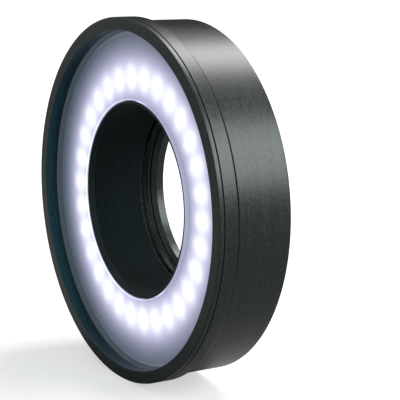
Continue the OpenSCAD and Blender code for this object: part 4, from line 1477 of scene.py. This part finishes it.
@dataclass(frozen=True)
class BaffleTube:
    """The ridged tube in the middle and the ring nut that clamps it."""

    ridge_depth: float = 0.7 * MM
    ridge_pitch: float = 1.27 * MM
    wall: float = 1.0 * MM
    shoulder_t: float = 2.15 * MM
    rear_gap: float = 0.1 * MM
    socket_wall: float = 1.5 * MM
    clip_lap: float = 0.9 * MM
    clip_groove_w: float = 0.9 * MM
    lip: float = 0.5 * MM
    front_land: float = 1.0 * MM
    back_land: float = 0.5 * MM
    edge: float = 0.15 * MM
    crest: float = 0.06 * MM
    nut_edge: float = 0.25 * MM

    def build(self) -> None:
        """Turns the tube with its ridges and breaks the nut's edges."""
        tube = Span.of("baffle_tube")
        cover = Span.of("rear_cover")
        socket_floor = Span.of("adapter_washer").front
        root_r = tube.inner + self.ridge_depth
        rear_r = cover.inner - self.rear_gap
        socket_r = rear_r - self.socket_wall
        clip_back = tube.back - self.lip
        clip_front = clip_back - self.clip_groove_w
        corners = [
            Corner(root_r, tube.front, self.edge),
            Corner(root_r + self.wall, tube.front, self.edge),
            Corner(root_r + self.wall, cover.front - self.shoulder_t),
            Corner(tube.outer, cover.front - self.shoulder_t, self.edge),
            Corner(tube.outer, cover.front),
            Corner(rear_r, cover.front),
            Corner(rear_r, tube.back, self.edge),
            Corner(socket_r, tube.back, self.edge),
            Corner(socket_r, clip_back),
            Corner(socket_r + self.clip_lap, clip_back),
            Corner(socket_r + self.clip_lap, clip_front),
            Corner(socket_r, clip_front),
            Corner(socket_r, socket_floor),
            Corner(root_r, socket_floor),
        ]
        corners += teeth(root_r, tube.inner, tube.front + self.front_land, socket_floor - self.back_land,
                         self.ridge_pitch, self.crest)
        ridged = spun("ridged_tube", rounded(corners, steps=2))
        place(ridged, Body.HOUSING, Slot.BAFFLE, BAFFLE_COAT, "baffle_tube")
        place_softened("clamp_nut", "tube_nut", self.nut_edge, Slot.ANODISED, SATIN_BLACK)


@dataclass(frozen=True)
class LensAdapter:
    """The turning ring with the lens thread, its snap ring and its washer."""

    neck_r: float = 38.2 * MM
    thread_len: float = 4.0 * MM
    hub_t: float = 2.4 * MM
    wall: float = 1.8 * MM
    tooth: float = 0.5 * MM
    tooth_pitch: float = 1.27 * MM
    front_land: float = 0.2 * MM
    back_land: float = 0.1 * MM
    crest: float = 0.06 * MM
    taper: float = 0.6 * MM
    thread_r: float = 36.0 * MM
    thread_pitch: float = 0.75 * MM
    thread_tooth: float = 0.3 * MM
    thread_steps: int = 120
    thread_sides: int = 3
    lead: float = 0.4 * MM
    edge: float = 0.2 * MM

    def build(self) -> None:
        """Turns the ring, sweeps its thread and dresses the small rings."""
        ring = Span.of("adapter_ring")
        seat = ring.back - self.thread_len
        hub_back = ring.front + self.hub_t
        bore_r = self.neck_r - self.wall
        core_r = self.thread_r - self.thread_tooth * TRIANGLE_HEIGHT
        taper_back = seat + self.taper
        taper_front = taper_back - (bore_r - ring.inner)
        corners = [
            Corner(bore_r + self.tooth, ring.front, self.edge),
            Corner(ring.outer, ring.front, self.edge),
            Corner(ring.outer, hub_back, self.edge),
            Corner(self.neck_r, hub_back),
            Corner(self.neck_r, seat, self.edge),
            Corner(core_r, seat),
            Corner(core_r, ring.back - self.lead),
            Corner(core_r - self.lead, ring.back, self.edge / 2),
            Corner(ring.inner, ring.back, self.edge),
            Corner(ring.inner, taper_back),
            Corner(bore_r, taper_front),
        ]
        corners += teeth(bore_r + self.tooth, bore_r, ring.front + self.front_land,
                         taper_front - self.back_land, self.tooth_pitch, self.crest)
        body = spun("adapter_body", rounded(corners))
        place(body, Body.ADAPTER, Slot.ANODISED, SATIN_BLACK, "adapter_ring")
        length = self.thread_len - 2 * self.lead - self.thread_tooth
        ridge = grown("lens_thread", helix_sweep(), {
            "Turns": length / self.thread_pitch, "Steps": self.thread_steps,
            "Radius": self.thread_r - self.thread_tooth, "Length": length, "Section": self.thread_tooth,
            "Sides": self.thread_sides, "Centre": Vector((0, seat + self.lead, 0)),
            "Finish": SATIN_BLACK.material(),
        })
        place(ridge, Body.ADAPTER, Slot.ANODISED, SATIN_BLACK)
        dress(BLACK_OXIDE, "adapter_clip")
        dress(NICKEL_STEEL, "adapter_washer")


@dataclass(frozen=True)
class Dimmer:
    """The brightness knob, its control, its nut and the dial printed on the rear cover."""

    flutes: int = 36
    flute_steps: int = 8
    flute_depth: float = 0.4 * MM
    crown: float = 2.0 * MM
    crown_hold: int = 3          # a ring that holds the crown's edge stands this many edges inside it
    cloud_share: float = 0.35
    edge: float = 0.4 * MM
    recess_r: float = 5.8 * MM
    recess_depth: float = 3.2 * MM
    roof: float = 2.5 * MM
    bore_r: float = 3.05 * MM
    screw_hole_r: float = 1.45 * MM
    pointer_w: float = 0.8 * MM
    pointer_start: float = 1.0 * MM
    pointer_depth: float = 0.3 * MM
    paint_t: float = 0.2 * MM
    paint_gap: float = 0.01 * MM
    nut_edge: float = 0.15 * MM
    tick_count: int = 11
    tick_step: float = math.radians(30)
    tick_gap: float = 1.0 * MM
    tick_len: float = 1.3 * MM
    tick_w: float = 0.35 * MM
    ink: float = 0.02 * MM
    figure_h: float = 2.2 * MM
    figure_set_out: float = 0.75  # in heights of a figure

    def build(self) -> None:
        """Turns the knob, paints its pointer, dresses the control and prints the dial."""
        centre = middle_of("dimmer_knob")
        self.knob(centre)
        place_softened("dimmer_clamp_nut", "dimmer_nut", self.nut_edge, Slot.STEEL, NICKEL_STEEL)
        dress(CUT_ALUMINIUM, "dimmer_pot")
        dress(NICKEL_STEEL, "dimmer_shaft")
        dress(BLACK_OXIDE, "knob_screw")
        self.dial(centre, Span.of("dimmer_knob", centre).outer)

    def knob(self, centre: tuple[float, float]) -> None:
        """Turns the fluted knob with its bore, cuts its set-screw hole and slot, and paints the slot.

        Args:
            centre: X and Z of the knob's axis.
        """
        knob = Span.of("dimmer_knob", centre)
        top = knob.back
        shoulder = top - self.crown
        recess = knob.front + self.recess_depth
        grip = fluted(knob.outer, self.flute_depth, self.flutes)
        mouth = fluted(knob.outer - self.edge, self.flute_depth, self.flutes)
        crown_r = knob.outer - 2 * self.flute_depth
        bow = BOW * self.edge
        rings: list[Ring] = [
            (0, top - self.roof), (self.bore_r, top - self.roof), (self.bore_r, recess),
            (self.recess_r, recess), (self.recess_r, knob.front), (mouth, knob.front),
            (grip, knob.front + self.edge), (grip, shoulder - self.edge), (mouth, shoulder),
            (crown_r, shoulder), (crown_r, top - self.edge), (crown_r - bow, top - bow),
            (crown_r - self.edge, top), (crown_r - self.crown_hold * self.edge, top), (0, top),
        ]
        body = spun("brightness_knob", rings, self.flute_steps * self.flutes, centre, closed=False)
        floor = top - self.pointer_depth
        slot = self.pointer("pointer_slot", centre, 0.0, knob.outer, (floor, top + self.edge))
        carved(body, [], [slot, self.screw_hole(centre, knob.outer)])
        turned = replace(SATIN_BLACK, name="satin_black_knob", centre=centre, cloud_share=self.cloud_share)
        place(body, Body.DIMMER, Slot.ANODISED, turned, "dimmer_knob")
        paint = self.pointer("knob_pointer", centre, self.paint_gap, crown_r - self.edge,
                             (floor + self.paint_gap, floor + self.paint_t))
        place(paint, Body.DIMMER, Slot.WHITE_PLASTIC, WHITE_INK)

    def pointer(self, name: str, centre: tuple[float, float], gap: float, end: float,
                depths: tuple[float, float]) -> Object:
        """Shapes a bar along the knob's pointer.

        Args:
            name: The object's name.
            centre: X and Z of the knob's axis.
            gap: How far its sides lie inside those of the slot.
            end: Distance of its outer end from the axis.
            depths: Lowest and highest depth.

        Returns:
            The bar.
        """
        start, half = self.pointer_start + gap, self.pointer_w / 2 - gap
        corners = ((start, -half), (end, -half), (end, half), (start, half))
        return prism(name, [(centre[0] - out, centre[1] + side) for out, side in corners], *depths)

    def screw_hole(self, centre: tuple[float, float], knob_r: float) -> Object:
        """Shapes the room of the hole in which the knob's set screw lies.

        Args:
            centre: X and Z of the knob's axis.
            knob_r: Radius of the knob.

        Returns:
            A rod from the knob's axis out through its side.
        """
        low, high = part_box("knob_screw")
        spot = (low + high) / 2
        axis = Vector((centre[0], spot.y, centre[1]))
        way = (spot - axis).normalized()
        shape = bmesh.new()
        turn = Vector((0, 0, 1)).rotation_difference(way).to_matrix().to_4x4()
        bmesh.ops.create_cone(shape, cap_ends=True, segments=SMALL_SEGMENTS, radius1=self.screw_hole_r,
                              radius2=self.screw_hole_r, depth=2 * knob_r,
                              matrix=Matrix.Translation(axis + way * knob_r) @ turn)
        return finished("set_screw_hole", shape)

    def dial(self, centre: tuple[float, float], knob_r: float) -> None:
        """Prints ticks and two figures round the knob.

        Args:
            centre: X and Z of the knob's axis.
            knob_r: Radius of the knob.
        """
        face = Span.of("rear_cover").back
        start_r = knob_r + self.tick_gap
        half = self.tick_w / 2
        outline = [(0, -half), (self.tick_len, -half), (self.tick_len, half), (0, half)]
        tick = prism("tick_pattern", outline, face, face + self.ink)
        first = math.pi - self.tick_step * (self.tick_count - 1) / 2
        ticks = around("dial_ticks", tick, self.tick_count, start_r, first, self.tick_step, WHITE_INK,
                       (centre[0], 0.0, centre[1]))
        place(ticks, Body.HOUSING, Slot.WHITE_PLASTIC, WHITE_INK)
        figure_r = start_r + self.tick_len + self.figure_h * self.figure_set_out
        for text, turn in (("0", 1), ("10", -1)):
            angle = math.pi - turn * self.tick_step * (self.tick_count - 1) / 2
            spot = (centre[0] + figure_r * math.cos(angle), centre[1] + figure_r * math.sin(angle))
            self.figure(text, spot, face)

    def figure(self, text: str, spot: tuple[float, float], face: float) -> None:
        """Prints one figure that reads from behind.

        Args:
            text: The figure.
            spot: X and Z of its middle.
            face: Depth of the printed face.
        """
        curve = bpy.data.curves.new("figure", "FONT")
        curve.body = text
        curve.size = self.figure_h
        curve.align_x, curve.align_y = "CENTER", "CENTER"
        curve.extrude = self.ink / 2
        host = linked("figure_host", curve)
        mesh = plain_mesh(host)
        bpy.data.objects.remove(host)
        facing = Matrix(((-1, 0, 0), (0, 0, 1), (0, 1, 0))).to_4x4()
        mesh.transform(Matrix.Translation((spot[0], face + self.ink / 2, spot[1])) @ facing)
        place(linked("dial_figure_" + text, mesh), Body.HOUSING, Slot.WHITE_PLASTIC, WHITE_INK)


@dataclass(frozen=True)
class PowerButton:
    """The push button with its dished top, its clamp ring and switch."""

    dish: float = 0.25 * MM
    dish_steps: int = 6
    dish_set_in: float = 1.6     # in edges
    edge: float = 0.4 * MM
    cap_h: float = 3.6 * MM
    collar_w: float = 0.7 * MM
    collar_h: float = 2.0 * MM
    stem_r: float = 1.4 * MM
    ring_edge: float = 0.2 * MM
    wire_r: float = 0.3 * MM
    wire_sides: int = 10
    coil_turns: int = 4
    coil_steps: int = 32
    travel: float = 1.5 * MM

    def build(self) -> None:
        """Turns the button, winds its spring and dresses what holds it."""
        centre = middle_of("power_button")
        button = Span.of("power_button", centre)
        top_r = button.outer - self.collar_w
        step_back = button.back - self.cap_h
        bow = BOW * self.edge
        base = step_back - self.collar_h
        rings: list[Ring] = [
            (0, button.front), (self.stem_r, button.front), (self.stem_r, base), (button.outer, base),
            (button.outer, step_back), (top_r, step_back), (top_r, button.back - self.edge),
            (top_r - bow, button.back - bow), (top_r - self.edge, button.back),
        ]
        dish_r = top_r - self.dish_set_in * self.edge
        for k in range(self.dish_steps):
            turn = math.pi / 2 * k / self.dish_steps
            rings.append((dish_r * math.cos(turn), button.back - self.dish * math.sin(turn)))
        rings.append((0, button.back - self.dish))
        push = spun("push_button", rings, SMALL_SEGMENTS, centre, closed=False)
        place(push, Body.BUTTON, Slot.BLACK_PLASTIC, BLACK_NYLON, "power_button")
        place_softened("button_clamp_ring", "switch_ring", self.ring_edge, Slot.STEEL, NICKEL_STEEL)
        dress(BLACK_NYLON, "switch_body")
        self.spring(centre)

    def spring(self, centre: tuple[float, float]) -> None:
        """Winds the return spring.

        Args:
            centre: X and Z of the button's axis.
        """
        coil = Span.of("button_spring", centre)
        length = coil.back - coil.front
        wire = grown("return_spring", helix_sweep(), {
            "Turns": float(self.coil_turns), "Steps": self.coil_steps, "Radius": coil.outer - self.wire_r,
            "Length": length - 2 * self.wire_r, "Section": self.wire_r, "Sides": self.wire_sides,
            "Centre": Vector((centre[0], coil.front + self.wire_r, centre[1])),
            "Finish": NICKEL_STEEL.material(),
        })
        wire.data.shade_smooth()
        place(wire, Body.HOUSING, Slot.STEEL, NICKEL_STEEL, "button_spring")
        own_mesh(wire)


@dataclass(frozen=True)
class PowerInlet:
    """The inlet socket with its clamp nut and centre pin."""

    nut_edge: float = 0.2 * MM
    jack_edge: float = 0.2 * MM

    def build(self) -> None:
        """Breaks the edges of the jack and its nut and dresses the pin."""
        place_softened("inlet_clamp_nut", "inlet_nut", self.nut_edge, Slot.STEEL, NICKEL_STEEL)
        place_softened("inlet_socket", "inlet_jack", self.jack_edge, Slot.BLACK_PLASTIC, BLACK_NYLON)
        dress(TURNED_BRASS, "inlet_pin")


@dataclass(frozen=True)
class DriverElectronics:
    """The driver board with its parts and the inner wiring."""

    def build(self) -> None:
        """Dresses the board, its parts and the wires."""
        dress(GREEN_MASK, "driver_board")
        dress(TURNED_BRASS, "driver_standoffs")
        dress(NICKEL_STEEL, "driver_screws", "capacitors")
        dress(BLACK_NYLON, "inductor", "driver_chips")
        dress(WHITE_POLYCARBONATE, "wire_headers")
        dress(RED_VINYL, "led_wires", "inlet_wires", "switch_wires", "dimmer_wires")


def main() -> None:
    """Builds the stage and every sub-assembly."""
    logging.basicConfig(level=logging.INFO, format="%(message)s")
    for part in (Studio(), FrontBezel(), WindowUnit(), LightEngine(), Drum(), BaffleTube(), LensAdapter(),
                 Dimmer(), PowerButton(), PowerInlet(), DriverElectronics()):
        LOG.info("building %s", type(part).__name__)
        part.build()
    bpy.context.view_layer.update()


if __name__ == "__main__":
    main()
